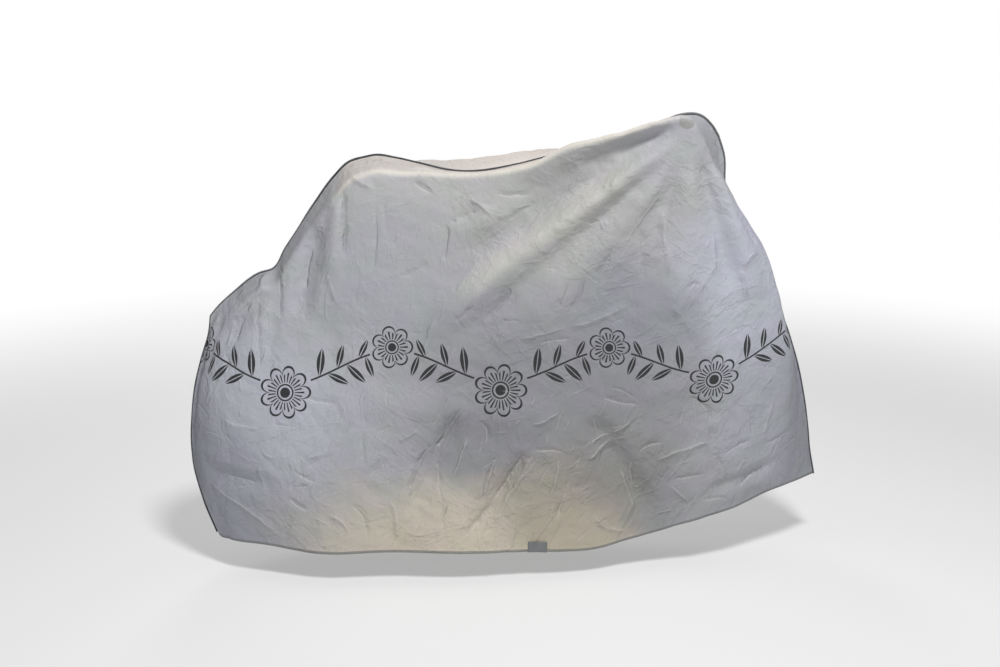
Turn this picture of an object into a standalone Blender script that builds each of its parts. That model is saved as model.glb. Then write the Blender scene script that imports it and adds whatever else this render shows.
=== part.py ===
"""Bicycle cover: two side panels of thin plastic film, joined by a bound seam that runs up the rear,
over the top and down the front. It is modelled as it hangs, hollow and open at the bottom.

Frame: +X runs from the rear of the cover to its front, +Y to its left side, +Z up. The world origin is
under the seam at the middle of the crown, where the cover is held up. The tables below are written from
the ground under the rear end, as a tape measure would give them, and one empty carries the difference.
"""
import bmesh
import bpy
import numpy as np
from mathutils import Vector

# ---------------------------------------------------------------- driving dimensions, in metres
FILM = 0.0015            # thickness of a side panel
CLEARANCE = 0.0004       # gap between pieces that touch
FLANGE = 0.0085          # how far the raw edges stand out of the seam
TAPE = 0.0010            # thickness of the binding tape and of the patch
TAPE_FOOT = 0.0030       # the tape's legs end this far above the seam's root
CROWN_REST = (0.157, 0.0, 1.038)         # the origin, measured from the ground under the rear end

COLUMNS = 48             # cells along the cover
TOP_ROWS = 5             # cells from the seam to the ridge
FACE_ROWS = 23           # cells from the ridge to the hem
RIDGE_ROUND = 0.012      # half of the chamfer that rounds the ridge
RIDGE_PART = 0.16        # share of an end seam that lies above the ridge's row
TOP_SAG = 0.04           # hollow between seam and ridge, as a share of its width
PATCH_HEIGHT = 0.027
PATCH_HEM_X = (0.517, 0.541, 0.565)      # rear edge, middle crease and front edge of the patch

# The seam's root: place along the cover, sideways, and height.
REAR_SEAM = [            # from the hem up to the corner above the rear end
    ("hem corner",   -0.265,  0.000, 0.085),
    ("tucked in",    -0.296,  0.000, 0.175),
    ("low bulge",    -0.315,  0.000, 0.270),
    ("widest",       -0.316,  0.000, 0.350),
    ("above bulge",  -0.307,  0.000, 0.440),
    ("drawing in",   -0.284,  0.000, 0.535),
    ("below corner", -0.260,  0.000, 0.610),
    ("corner",       -0.254,  0.000, 0.640),
]
TOP_SEAM = [             # from that corner over the top to the front
    ("corner",       -0.254,  0.000, 0.640),
    ("hump rear",    -0.236,  0.000, 0.665),
    ("hump slope",   -0.193,  0.000, 0.710),
    ("hump top",     -0.130,  0.000, 0.755),
    ("hump front",   -0.098,  0.000, 0.765),
    ("rise",         -0.063,  0.000, 0.818),
    ("steep",        -0.020,  0.000, 0.882),
    ("crown back",    0.008,  0.000, 0.922),
    ("crown edge",    0.060,  0.000, 0.988),
    ("crown rear",    0.096,  0.000, 1.014),
    ("crown top",     0.136,  0.000, 1.036),
    ("held up here",  0.157,  0.000, 1.040),
    ("crown middle",  0.205,  0.000, 1.034),
    ("crown front",   0.266,  0.002, 1.018),
    ("dip",           0.330,  0.006, 0.998),
    ("low point",     0.412,  0.015, 0.985),
    ("climb",         0.510,  0.020, 0.996),
    ("long climb",    0.625,  0.010, 1.034),
    ("peak rear",     0.735, -0.030, 1.074),
    ("peak shoulder", 0.842, -0.080, 1.120),
    ("front peak",    0.887, -0.090, 1.138),
    ("peak front",    0.930, -0.080, 1.137),
    ("turning down",  0.965, -0.060, 1.112),
    ("front corner",  0.984, -0.048, 1.086),
]
FRONT_SEAM = [           # from the front corner down to the hem
    ("front corner",  0.984, -0.048, 1.086),
    ("below peak",    1.003, -0.036, 1.040),
    ("kink",          1.012, -0.020, 0.966),
    ("behind fold",   1.070,  0.006, 0.845),
    ("slope",         1.158,  0.025, 0.686),
    ("slope end",     1.214,  0.038, 0.566),
    ("front face",    1.252,  0.044, 0.444),
    ("lower face",    1.279,  0.050, 0.318),
    ("near hem",      1.288,  0.050, 0.248),
    ("hem corner",    1.301,  0.050, 0.183),
]

# The hem of the right panel, and of the left one: place along the cover, distance out, height.
RIGHT_HEM = [
    ("rear corner", -0.265, 0.000, 0.085),
    ("rear turn",   -0.215, 0.062, 0.085),
    ("rear swell",  -0.134, 0.108, 0.086),
    ("rear third",  -0.020, 0.145, 0.079),
    ("rear middle",  0.150, 0.165, 0.081),
    ("middle",       0.349, 0.175, 0.079),
    ("patch",        0.541, 0.172, 0.074),
    ("rising",       0.690, 0.150, 0.072),
    ("front third",  0.806, 0.132, 0.090),
    ("front swell",  0.960, 0.115, 0.130),
    ("front quarter", 1.060, 0.090, 0.148),
    ("front turn",   1.170, 0.040, 0.173),
    ("front corner", 1.301, -0.050, 0.183),
]
LEFT_HEM = [
    ("rear corner", -0.265, 0.000, 0.085),
    ("rear turn",   -0.212, 0.066, 0.078),
    ("rear swell",  -0.125, 0.112, 0.070),
    ("rear third",   0.000, 0.150, 0.064),
    ("rear middle",  0.200, 0.168, 0.060),
    ("middle",       0.420, 0.170, 0.066),
    ("front middle", 0.600, 0.164, 0.072),
    ("front third",  0.800, 0.158, 0.092),
    ("front swell",  0.960, 0.160, 0.120),
    ("front quarter", 1.120, 0.158, 0.142),
    ("front turn",   1.235, 0.125, 0.168),
    ("front corner", 1.301, 0.050, 0.183),
]

# Sections of each panel, from rear to front. Columns: place of the section on the top seam and on the
# hem; place of its ridge, how far out and how far above the seam; then how far out the panel hangs at
# three quarters, half and one quarter of its height, and how far its upper half leans forward.
RIGHT_SECTIONS = [
    # seam_x  hem_x  ridge_x ridge_out  rise   high    mid     low   forward
    (-0.254, -0.265, -0.262,  0.000, -0.092,  0.000,  0.000,  0.000, 0.000),
    (-0.228, -0.236, -0.232,  0.036, -0.060,  0.044,  0.050,  0.048, 0.000),
    (-0.190, -0.196, -0.188,  0.058, -0.032,  0.068,  0.084,  0.084, 0.000),
    (-0.130, -0.130, -0.126,  0.072, -0.022,  0.090,  0.112,  0.116, 0.000),
    (-0.080, -0.085, -0.080,  0.062, -0.034,  0.098,  0.126,  0.132, 0.000),
    (-0.018, -0.030, -0.020,  0.056, -0.036,  0.102,  0.136,  0.144, 0.000),
    ( 0.063,  0.045,  0.066,  0.066, -0.034,  0.104,  0.144,  0.154, 0.000),
    ( 0.120,  0.105,  0.122,  0.076, -0.026,  0.106,  0.150,  0.162, 0.000),
    ( 0.205,  0.195,  0.206,  0.080, -0.020,  0.112,  0.156,  0.168, 0.000),
    ( 0.310,  0.300,  0.310,  0.086,  0.006,  0.122,  0.162,  0.174, 0.000),
    ( 0.412,  0.400,  0.412,  0.104,  0.022,  0.136,  0.168,  0.178, 0.000),
    ( 0.510,  0.500,  0.510,  0.132,  0.030,  0.154,  0.176,  0.182, 0.000),
    ( 0.625,  0.628,  0.620,  0.170,  0.049,  0.176,  0.184,  0.178, 0.000),
    ( 0.735,  0.755,  0.728,  0.208,  0.043,  0.200,  0.190,  0.168, 0.000),
    ( 0.842,  0.890,  0.828,  0.244,  0.030,  0.222,  0.192,  0.156, 0.000),
    ( 0.887,  0.985,  0.872,  0.252,  0.012,  0.226,  0.184,  0.146, 0.012),
    ( 0.930,  1.085,  0.912,  0.226, -0.040,  0.206,  0.162,  0.120, 0.030),
    ( 0.968,  1.205,  0.958,  0.150, -0.110,  0.146,  0.112,  0.070, 0.060),
    ( 0.984,  1.301,  1.010,  0.020, -0.150, -0.010, -0.036, -0.047, 0.000),
]
LEFT_SECTIONS = [
    # seam_x  hem_x  ridge_x ridge_out  rise   high    mid     low   forward
    (-0.254, -0.265, -0.262,  0.000, -0.092,  0.000,  0.000,  0.000, 0.000),
    (-0.228, -0.236, -0.232,  0.038, -0.060,  0.046,  0.052,  0.050, 0.000),
    (-0.190, -0.196, -0.188,  0.060, -0.032,  0.070,  0.088,  0.088, 0.000),
    (-0.130, -0.130, -0.126,  0.072, -0.022,  0.092,  0.116,  0.122, 0.000),
    (-0.080, -0.085, -0.080,  0.064, -0.034,  0.100,  0.130,  0.138, 0.000),
    (-0.018, -0.030, -0.020,  0.058, -0.036,  0.104,  0.140,  0.148, 0.000),
    ( 0.063,  0.045,  0.066,  0.066, -0.034,  0.106,  0.146,  0.158, 0.000),
    ( 0.120,  0.105,  0.122,  0.076, -0.026,  0.110,  0.152,  0.164, 0.000),
    ( 0.205,  0.195,  0.206,  0.086, -0.016,  0.120,  0.158,  0.168, 0.000),
    ( 0.310,  0.300,  0.310,  0.108,  0.021,  0.136,  0.164,  0.172, 0.000),
    ( 0.412,  0.400,  0.412,  0.144,  0.041,  0.156,  0.170,  0.174, 0.000),
    ( 0.510,  0.495,  0.508,  0.190,  0.033,  0.184,  0.178,  0.174, 0.000),
    ( 0.625,  0.610,  0.622,  0.244,  0.002,  0.214,  0.186,  0.172, 0.000),
    ( 0.735,  0.735,  0.724,  0.250, -0.060,  0.216,  0.186,  0.168, 0.000),
    ( 0.842,  0.880,  0.826,  0.214, -0.108,  0.200,  0.182,  0.166, 0.000),
    ( 0.887,  0.975,  0.872,  0.190, -0.118,  0.186,  0.178,  0.168, 0.000),
    ( 0.930,  1.085,  0.914,  0.154, -0.124,  0.162,  0.168,  0.168, 0.000),
    ( 0.968,  1.210,  0.962,  0.096, -0.132,  0.116,  0.138,  0.144, 0.000),
    ( 0.984,  1.301,  1.010, -0.020, -0.150,  0.010,  0.036,  0.047, 0.000),
]

# Main folds of each panel. Columns: start and end (place along the cover, height), half width at the
# start and at the end, and height out of the panel, where a minus sign is a hollow.
RIGHT_FOLDS = [
    # x0     z0     x1     z1     w0     w1     height
    ( 0.835, 1.108,  0.440, 0.975, 0.030, 0.050, -0.014),   # hollow under the ridge
    ( 0.825, 1.090,  0.160, 0.620, 0.034, 0.075,  0.018),   # long band from the front peak
    ( 0.770, 1.045,  0.260, 0.760, 0.030, 0.060, -0.009),   # hollow above it
    ( 0.840, 1.060,  0.306, 0.640, 0.028, 0.060, -0.011),   # hollow below it
    ( 0.850, 1.050,  0.440, 0.600, 0.030, 0.075,  0.009),   # second band
    ( 0.857, 1.050,  0.660, 0.640, 0.030, 0.080, -0.010),
    ( 0.875, 1.050,  0.880, 0.640, 0.034, 0.075,  0.009),
    ( 0.893, 1.080,  1.020, 0.700, 0.030, 0.060, -0.016),   # hollow between the peak and the front seam
    ( 0.935, 1.050,  1.080, 0.660, 0.028, 0.055,  0.010),
    (-0.100, 0.745, -0.244, 0.580, 0.032, 0.050, -0.016),   # hollow in front of the rear hump
    ( 0.018, 0.890, -0.040, 0.640, 0.032, 0.050, -0.014),   # hollow behind the crown
    ( 0.070, 0.960,  0.048, 0.740, 0.026, 0.040,  0.011),   # upright fold at the crown's back
    ( 0.080, 0.470,  0.640, 0.420, 0.070, 0.080,  0.010),   # swell half way down
    ( 0.660, 0.440,  0.850, 0.110, 0.055, 0.050, -0.018),   # hollow at the front third
    ( 0.350, 0.440,  0.215, 0.160, 0.040, 0.045, -0.011),
    ( 0.520, 0.350,  0.350, 0.080, 0.036, 0.045, -0.012),
    ( 0.960, 0.195,  1.190, 0.260, 0.032, 0.034, -0.010),
    ( 0.900, 0.500,  1.000, 0.200, 0.040, 0.045, -0.007),
    (-0.290, 0.270, -0.080, 0.240, 0.040, 0.045, -0.010),
]
LEFT_FOLDS = [
    # x0     z0     x1     z1     w0     w1     height
    ( 0.640, 0.980,  0.240, 0.640, 0.030, 0.075,  0.014),   # band from the left shoulder
    ( 0.650, 0.960,  0.420, 0.540, 0.030, 0.070, -0.011),
    ( 0.665, 0.950,  0.610, 0.500, 0.030, 0.075,  0.012),
    ( 0.685, 0.960,  0.820, 0.560, 0.030, 0.070, -0.012),
    ( 0.720, 0.990,  1.000, 0.660, 0.030, 0.060,  0.013),   # band from there to the front
    ( 0.860, 0.980,  1.080, 0.560, 0.030, 0.050, -0.012),
    (-0.095, 0.745, -0.230, 0.560, 0.032, 0.050, -0.014),
    ( 0.020, 0.880, -0.030, 0.620, 0.032, 0.050, -0.013),
    ( 0.120, 0.960,  0.110, 0.700, 0.030, 0.045,  0.010),
    ( 0.280, 0.400,  0.200, 0.110, 0.050, 0.055,  0.010),
    ( 0.500, 0.380,  0.470, 0.110, 0.050, 0.060, -0.012),
    ( 0.720, 0.400,  0.760, 0.130, 0.050, 0.055,  0.012),
    ( 0.960, 0.400,  1.020, 0.170, 0.045, 0.050, -0.012),
]
HEIGHT_SHARES = (0.0, 0.25, 0.5, 0.75, 1.0)     # heights of a section's places, from ridge to hem
LEAN_SHAPE = (0.0, 1.0, 0.8, 0.3, 0.0)          # how a forward lean is shared out over those heights
END_REACH = 6            # the larger, the nearer to its end an end seam's bulge dies out
FOLD_SWELL = 0.20        # share of a fold's length over which it rises
FOLD_TAPER = 0.30        # share of its length over which it dies out
FOLD_FADE = 0.05         # folds die out over this distance from the seam
HEM_WAVE = 0.006         # unevenness of the hem, to and fro
HEM_WAVE_LENGTH = 0.31
HEM_WAVE_TOP = 0.35      # the wave dies out up to this height
HEM_WAVE_SHIFT = {-1: 0.7, 1: 2.2}              # where the wave begins, for the right and the left side
SAMPLES = 90             # points along a path or section before it is cut into cells

FILM_GREY = (0.36, 0.36, 0.38, 1.0)
TAPE_GREY = (0.10, 0.11, 0.13, 1.0)
PATCH_GREY = (0.16, 0.16, 0.17, 1.0)


# ---------------------------------------------------------------- curves
def slopes(places, values):
    """Slope at each place of a table, limited so that the curve between rows never overshoots."""
    steps = np.diff(values, axis=0) / np.diff(places)[:, None]
    inner = np.where(steps[1:] * steps[:-1] > 0.0,
                     2.0 * steps[1:] * steps[:-1] / (steps[1:] + steps[:-1] + 1e-12), 0.0)
    return np.vstack([steps[:1], inner, steps[-1:]])


def read_table(places, values, at):
    """Smooth values between the rows of a table, at the given places."""
    values = values.reshape(len(places), -1)
    slope = slopes(places, values)
    row = np.clip(np.searchsorted(places, at) - 1, 0, len(places) - 2)
    span = (places[row + 1] - places[row])[:, None]
    t = (np.asarray(at)[:, None] - places[row][:, None]) / span
    rise = t * t * (3.0 - 2.0 * t)
    between = values[row] * (1.0 - rise) + values[row + 1] * rise
    return between + span * (slope[row] * t * (1 - t) ** 2 - slope[row + 1] * t * t * (1 - t))


def lengths_along(points):
    """Distance from the first point to each point of a path."""
    return np.concatenate([[0.0], np.cumsum(np.linalg.norm(np.diff(points, axis=0), axis=1))])


def path_through(rows):
    """Smooth path through the rows of a seam or hem table."""
    points = np.array([row[1:] for row in rows])
    chord = lengths_along(points)
    tangent = np.gradient(points, chord, axis=0)
    at = np.linspace(0.0, chord[-1], 4 * SAMPLES)
    row = np.clip(np.searchsorted(chord, at) - 1, 0, len(chord) - 2)
    span = (chord[row + 1] - chord[row])[:, None]
    t = (at[:, None] - chord[row][:, None]) / span
    rise = t * t * (3.0 - 2.0 * t)
    between = points[row] * (1.0 - rise) + points[row + 1] * rise
    return between + span * (tangent[row] * t * (1 - t) ** 2 - tangent[row + 1] * t * t * (1 - t))


def points_at(path, distances):
    """Points of a path at the given distances along it."""
    length = lengths_along(path)
    return np.stack([np.interp(distances, length, path[:, axis]) for axis in range(3)], axis=1)


def smooth_step(value):
    value = np.clip(value, 0.0, 1.0)
    return value * value * (3.0 - 2.0 * value)


# ---------------------------------------------------------------- the grid of a panel
def column_places():
    """Where each column leaves the top seam, with three of them on the patch's edges and crease.

    The columns are about evenly apart on the seam, the ridge, half way down and the hem together.
    """
    top = path_through(TOP_SEAM)
    table = np.array(RIGHT_SECTIONS)
    hem_x, ridge_x, ridge_out, rise, _, mid, _, _ = read_table(table[:, 0], table[:, 1:], top[:, 0]).T
    ridge = np.stack([ridge_x, ridge_out, top[:, 2] + rise], axis=1)
    half_way = np.stack([0.5 * (ridge_x + hem_x), mid], axis=1)
    travel = sum(lengths_along(line) for line in (top, ridge, half_way, hem_x[:, None]))
    even = np.interp(np.linspace(0.0, travel[-1], COLUMNS + 1), travel, top[:, 0])
    on_hem = np.interp(even, table[:, 0], table[:, 1])
    middle = int(np.argmin(abs(on_hem - PATCH_HEM_X[1])))
    even[middle - 1:middle + 2] = np.interp(PATCH_HEM_X, table[:, 1], table[:, 0])
    return even, middle


def end_column(seam):
    """Points down an end seam, one for each row of the grid."""
    length = lengths_along(seam)[-1]
    above = np.linspace(0.0, RIDGE_PART * length, TOP_ROWS + 1)
    below = np.linspace(RIDGE_PART * length, length - PATCH_HEIGHT, FACE_ROWS)
    return points_at(seam, np.concatenate([above, below[1:], [length]]))


def hang(seam_point, ridge, outs, hem_point, swing, side):
    """One column: from the seam over the ridge and down the face to the hem."""
    over = np.linspace(0.0, 1.0, SAMPLES)
    top = seam_point + (ridge - seam_point) * over[:, None]
    top[:, 2] -= TOP_SAG * abs(ridge[1] - seam_point[1]) * np.sin(np.pi * over)
    share = np.array(HEIGHT_SHARES)
    out = np.array([side * ridge[1], *outs, side * hem_point[1]])
    down = np.linspace(0.0, 1.0, SAMPLES)
    face = ridge + (hem_point - ridge) * down[:, None]
    face[:, 1] = side * read_table(share, out, down)[:, 0]
    face[:, 0] += read_table(share, swing, down)[:, 0]
    top_length, face_length = lengths_along(top)[-1], lengths_along(face)[-1]
    nip = min(RIDGE_ROUND, 0.3 * top_length)
    upper = points_at(top, np.linspace(0.0, top_length - nip, TOP_ROWS))
    lower = points_at(face, np.linspace(nip, face_length - PATCH_HEIGHT, FACE_ROWS))
    return np.vstack([upper, lower, points_at(face, [face_length])])


def bulge_of(seam):
    """How far an end seam swings off its own straight line, at five heights below the ridge's row."""
    rows = end_column(seam)[TOP_ROWS:]
    share = (rows[0, 2] - rows[:, 2]) / (rows[0, 2] - rows[-1, 2])
    off = rows[:, 0] - (rows[0, 0] + (rows[-1, 0] - rows[0, 0]) * share)
    return np.interp(HEIGHT_SHARES, share, off)


def panel_grid(sections, hem_rows, folds, side):
    """Outer surface of a panel as a grid of points, [column, row]; side is -1 right and +1 left."""
    table = np.array(sections)
    places, _ = column_places()
    top = path_through(TOP_SEAM)
    rear, front = path_through(REAR_SEAM)[::-1], path_through(FRONT_SEAM)
    hem = path_through(hem_rows)
    values = read_table(table[:, 0], table[:, 1:], places)
    rear_bulge, front_bulge = bulge_of(rear), bulge_of(front)
    grid = [end_column(rear)]
    for column in range(1, COLUMNS):
        hem_x, ridge_x, ridge_out, rise, high, mid, low, forward = values[column]
        along = column / COLUMNS
        seam_point = np.array([np.interp(places[column], top[:, 0], top[:, axis]) for axis in range(3)])
        hem_y, hem_z = (np.interp(hem_x, hem[:, 0], hem[:, axis]) for axis in (1, 2))
        ridge = np.array([ridge_x, side * ridge_out, seam_point[2] + rise])
        hem_point = np.array([hem_x, side * hem_y, hem_z])
        swing = rear_bulge * (1.0 - along) ** END_REACH + front_bulge * along ** END_REACH
        swing = swing + forward * np.array(LEAN_SHAPE)
        grid.append(hang(seam_point, ridge, (high, mid, low), hem_point, swing, side))
    grid.append(end_column(front))
    return folded(np.array(grid), folds, side)


def normals_of(grid, side):
    """Unit normals of a grid, pointing out of the cover."""
    along = np.gradient(grid, axis=0)
    down = np.gradient(grid, axis=1)
    normal = side * np.cross(along, down)
    return normal / np.maximum(np.linalg.norm(normal, axis=2, keepdims=True), 1e-9)


def seam_distance(grid):
    """Distance of each grid point from the nearest of the three seam edges."""
    edge = np.vstack([grid[0], grid[:, 0], grid[-1]])
    gap = np.linalg.norm(grid[:, :, None, :] - edge[None, None], axis=3)
    return gap.min(axis=2)


def folded(grid, folds, side):
    """Raise the panel's main folds along its normals, and let the hem wander."""
    normal = normals_of(grid, side)
    height = np.zeros(grid.shape[:2])
    for x0, z0, x1, z1, w0, w1, fold_height in folds:
        run = np.array([x1 - x0, z1 - z0])
        length = np.hypot(*run)
        offset = np.stack([grid[:, :, 0] - x0, grid[:, :, 2] - z0], axis=2)
        share = offset @ run / length ** 2
        across = abs(offset[:, :, 0] * run[1] - offset[:, :, 1] * run[0]) / length
        width = w0 + (w1 - w0) * np.clip(share, 0.0, 1.0)
        profile = np.cos(0.5 * np.pi * np.clip(across / width, 0.0, 1.0)) ** 2
        fade = smooth_step(share / FOLD_SWELL) * smooth_step((1.0 - share) / FOLD_TAPER)
        height += fold_height * profile * fade
    height *= smooth_step(seam_distance(grid) / FOLD_FADE)
    low = smooth_step(1.0 - grid[:, :, 2] / HEM_WAVE_TOP)
    wave = np.sin(2.0 * np.pi * grid[:, :, 0] / HEM_WAVE_LENGTH + HEM_WAVE_SHIFT[side])
    height += HEM_WAVE * wave * low * smooth_step(seam_distance(grid) / (2.0 * FOLD_FADE))
    return grid + normal * height[:, :, None]


# ---------------------------------------------------------------- the seam's own frame
def seam_frame(grid):
    """Root points of the whole seam, with its sideways and outward directions."""
    root = np.vstack([grid[0, ::-1], grid[1:-1, 0], grid[-1]])
    tangent = np.gradient(root, lengths_along(root), axis=0)
    tangent /= np.linalg.norm(tangent, axis=1, keepdims=True)
    sideways = np.array([0.0, 1.0, 0.0]) - tangent * tangent[:, 1:2]
    sideways /= np.linalg.norm(sideways, axis=1, keepdims=True)
    return root, sideways, np.cross(tangent, sideways)


# ---------------------------------------------------------------- meshes
def material(name, colour, roughness):
    shade = bpy.data.materials.new(name)
    shade.use_nodes = True
    principled = shade.node_tree.nodes["Principled BSDF"]
    principled.inputs["Base Color"].default_value = colour
    principled.inputs["Roughness"].default_value = roughness
    principled.inputs["Metallic"].default_value = 0.0
    return shade


def finish(name, mesh_builder, colour, roughness, parent):
    """Turn a bmesh into a named object under the parent."""
    mesh = bpy.data.meshes.new(name)
    mesh_builder.to_mesh(mesh)
    mesh_builder.free()
    mesh.shade_smooth()
    part = bpy.data.objects.new(name, mesh)
    part.parent = parent
    mesh.materials.append(material(name + "_material", colour, roughness))
    bpy.context.scene.collection.objects.link(part)
    return part


def side_panel(name, grid, side, parent):
    """Panel: a grid with its three sewn edges turned out as a flange, given the film's thickness."""
    root, sideways, outward = seam_frame(grid)
    apart = side * (0.5 * CLEARANCE + FILM)
    count = grid.shape[1]
    shaped = grid.copy()
    sewn = root + apart * sideways
    shaped[0, ::-1] = sewn[:count]
    shaped[1:-1, 0] = sewn[count:-count]
    shaped[-1] = sewn[-count:]

    sheet = bmesh.new()
    columns, rows = grid.shape[:2]
    bmesh.ops.create_grid(sheet, x_segments=columns - 1, y_segments=rows - 1, size=0.5)
    sheet.verts.ensure_lookup_table()
    for vertex in sheet.verts:
        column = round((vertex.co.x + 0.5) * (columns - 1))
        row = round((0.5 - vertex.co.y) * (rows - 1))
        vertex.co = shaped[column, row]
    roots = {vertex for vertex in sheet.verts if near_any(vertex.co, sewn)}
    edges = [edge for edge in sheet.edges
             if edge.is_boundary and all(vertex in roots for vertex in edge.verts)]
    added = bmesh.ops.extrude_edge_only(sheet, edges=edges)["geom"]
    for vertex in (item for item in added if isinstance(item, bmesh.types.BMVert)):
        nearest = int(np.argmin(np.linalg.norm(sewn - np.array(vertex.co), axis=1)))
        vertex.co += Vector(FLANGE * outward[nearest])
    bmesh.ops.recalc_face_normals(sheet, faces=sheet.faces)
    outward_area = sum(face.normal.y * face.calc_area() for face in sheet.faces) * side
    if outward_area < 0.0:
        bmesh.ops.reverse_faces(sheet, faces=sheet.faces)
    panel = finish(name, sheet, FILM_GREY, 0.42, parent)
    thickness = panel.modifiers.new("film", "SOLIDIFY")
    thickness.thickness = FILM
    thickness.offset = -1.0
    return panel


def near_any(place, points):
    return np.linalg.norm(points - np.array(place), axis=1).min() < 1e-6


def channel(name, rings, colour, parent):
    """A strip of U section: eight corners in each ring, capped at both ends."""
    strip = bmesh.new()
    loops = [[strip.verts.new(corner) for corner in ring] for ring in rings]
    for here, there in zip(loops, loops[1:]):
        for corner in range(8):
            after = (corner + 1) % 8
            strip.faces.new((here[corner], here[after], there[after], there[corner]))
    for loop in (loops[0], loops[-1]):
        for corners in ((0, 1, 6, 7), (1, 2, 5, 6), (2, 3, 4, 5)):
            strip.faces.new([loop[corner] for corner in corners])
    bmesh.ops.recalc_face_normals(strip, faces=strip.faces)
    return finish(name, strip, colour, 0.6, parent)


def seam_binding(grid, parent):
    """Tape folded over both panels' raw edges, along the whole seam."""
    root, sideways, outward = seam_frame(grid)
    inner = 0.5 * CLEARANCE + FILM + CLEARANCE
    outer = inner + TAPE
    crown = FLANGE + CLEARANCE
    corners = [(-outer, TAPE_FOOT), (-outer, crown + TAPE), (outer, crown + TAPE), (outer, TAPE_FOOT),
               (inner, TAPE_FOOT), (inner, crown), (-inner, crown), (-inner, TAPE_FOOT)]
    rings = [[point + sideway * across + out * up for across, up in corners]
             for point, sideway, out in zip(root, sideways, outward)]
    return channel("seam_binding", rings, TAPE_GREY, parent)


def hem_patch(grid, parent):
    """Patch folded over the right panel's hem, on the facets of the hem itself."""
    _, middle = column_places()
    normal = normals_of(grid, -1)
    over, under = CLEARANCE, FILM + CLEARANCE
    rings = []
    for column in (middle - 1, middle, middle + 1):
        upper, lower = grid[column, -2], grid[column, -1]
        down = (lower - upper) / np.linalg.norm(lower - upper)
        out_high, out_low = normal[column, -2], normal[column, -1]
        rings.append([
            upper + out_high * (over + TAPE),
            lower + out_low * (over + TAPE) + down * (CLEARANCE + TAPE),
            lower - out_low * (under + TAPE) + down * (CLEARANCE + TAPE),
            upper - out_high * (under + TAPE),
            upper - out_high * under,
            lower - out_low * under + down * CLEARANCE,
            lower + out_low * over + down * CLEARANCE,
            upper + out_high * over,
        ])
    return channel("hem_patch", rings, PATCH_GREY, parent)


def main():
    for item in list(bpy.data.objects):
        bpy.data.objects.remove(item, do_unlink=True)
    cover = bpy.data.objects.new("cover", None)
    cover.location = [-place for place in CROWN_REST]
    bpy.context.scene.collection.objects.link(cover)
    right = panel_grid(RIGHT_SECTIONS, RIGHT_HEM, RIGHT_FOLDS, -1)
    left = panel_grid(LEFT_SECTIONS, LEFT_HEM, LEFT_FOLDS, 1)
    side_panel("right_panel", right, -1, cover)
    side_panel("left_panel", left, 1, cover)
    seam_binding(right, cover)
    hem_patch(right, cover)


main()
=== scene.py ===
import math
import random

import bmesh
import bpy
import numpy as np
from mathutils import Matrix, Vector, noise


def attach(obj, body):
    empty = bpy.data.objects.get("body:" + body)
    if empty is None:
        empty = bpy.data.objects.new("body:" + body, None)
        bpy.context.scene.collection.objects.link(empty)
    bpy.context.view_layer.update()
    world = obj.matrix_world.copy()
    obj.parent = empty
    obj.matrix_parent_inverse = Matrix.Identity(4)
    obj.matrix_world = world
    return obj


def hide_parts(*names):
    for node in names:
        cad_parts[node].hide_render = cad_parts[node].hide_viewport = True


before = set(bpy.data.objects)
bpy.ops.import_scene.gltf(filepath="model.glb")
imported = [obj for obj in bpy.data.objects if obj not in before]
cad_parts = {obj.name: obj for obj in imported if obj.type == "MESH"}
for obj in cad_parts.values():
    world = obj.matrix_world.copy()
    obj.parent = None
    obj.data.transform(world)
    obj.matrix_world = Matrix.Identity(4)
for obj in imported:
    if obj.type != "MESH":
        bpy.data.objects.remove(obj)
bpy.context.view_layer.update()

CROWN_REST = np.array([0.157, 0.0, 1.038])

# ---------------------------------------------------------------- sizes
FILM = 0.0008            # thickness of the film with its crumples
SEAM_GAP = 0.0004        # gap between the two films in the seam
FLANGE = 0.0068          # how far their raw edges stand out of it, at most
TAPE = 0.0009            # thickness of the binding tape
TAPE_FOOT = 0.28         # its legs begin at this share of the height
TAPE_LEAN = 0.30         # the tape leans to either side by up to this angle, in radians
STITCH_PITCH = 0.0046
STITCH_LENGTH = 0.0030
STITCH_THICK = 0.0011
TAPE_GAP = 0.0004        # gap between the tape and the film inside it
TAPE_STEADY = 0.1        # the tape stands straight at both ends, and leans fully this far from them
HEM = 0.0068             # height of the folded hem
HEM_STEP = 0.0006        # and how far it stands out
HEM_CLEAR = 0.0018       # the last even row ends this far above the fold
PATCH_HEIGHT = 0.027
PATCH_X = (0.517, 0.565)
PATCH_FILM = 0.0009
PATCH_LIFT = 0.0007      # gap between the patch and the film, on both sides
PATCH_CREASE = 0.0011    # height of the crease down its middle
PATCH_LINES = 13
PATCH_ROWS = 8

COLUMNS = 260            # cells along a panel
TOP_ROWS = 30            # cells from the seam to the ridge
FACE_ROWS = 150          # cells from the ridge to the hem
RIDGE_PART = 0.16        # share of an end seam above the ridge's row
RIDGE_ROUND = 0.020      # reach of the rounding on each side of the ridge
RIDGE_LINE = 0.002       # the highlight painted along the ridge lies this far below its row, and blurs over the next distance
RIDGE_BLUR = 0.007
TOP_EDGE = 0.012         # the light painted on the top ends over this distance
LINE_FADE = 0.02         # crease lines in the material die out over this distance from the seam
TOP_SAG = 0.04           # the top sags by this share of its width

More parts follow.
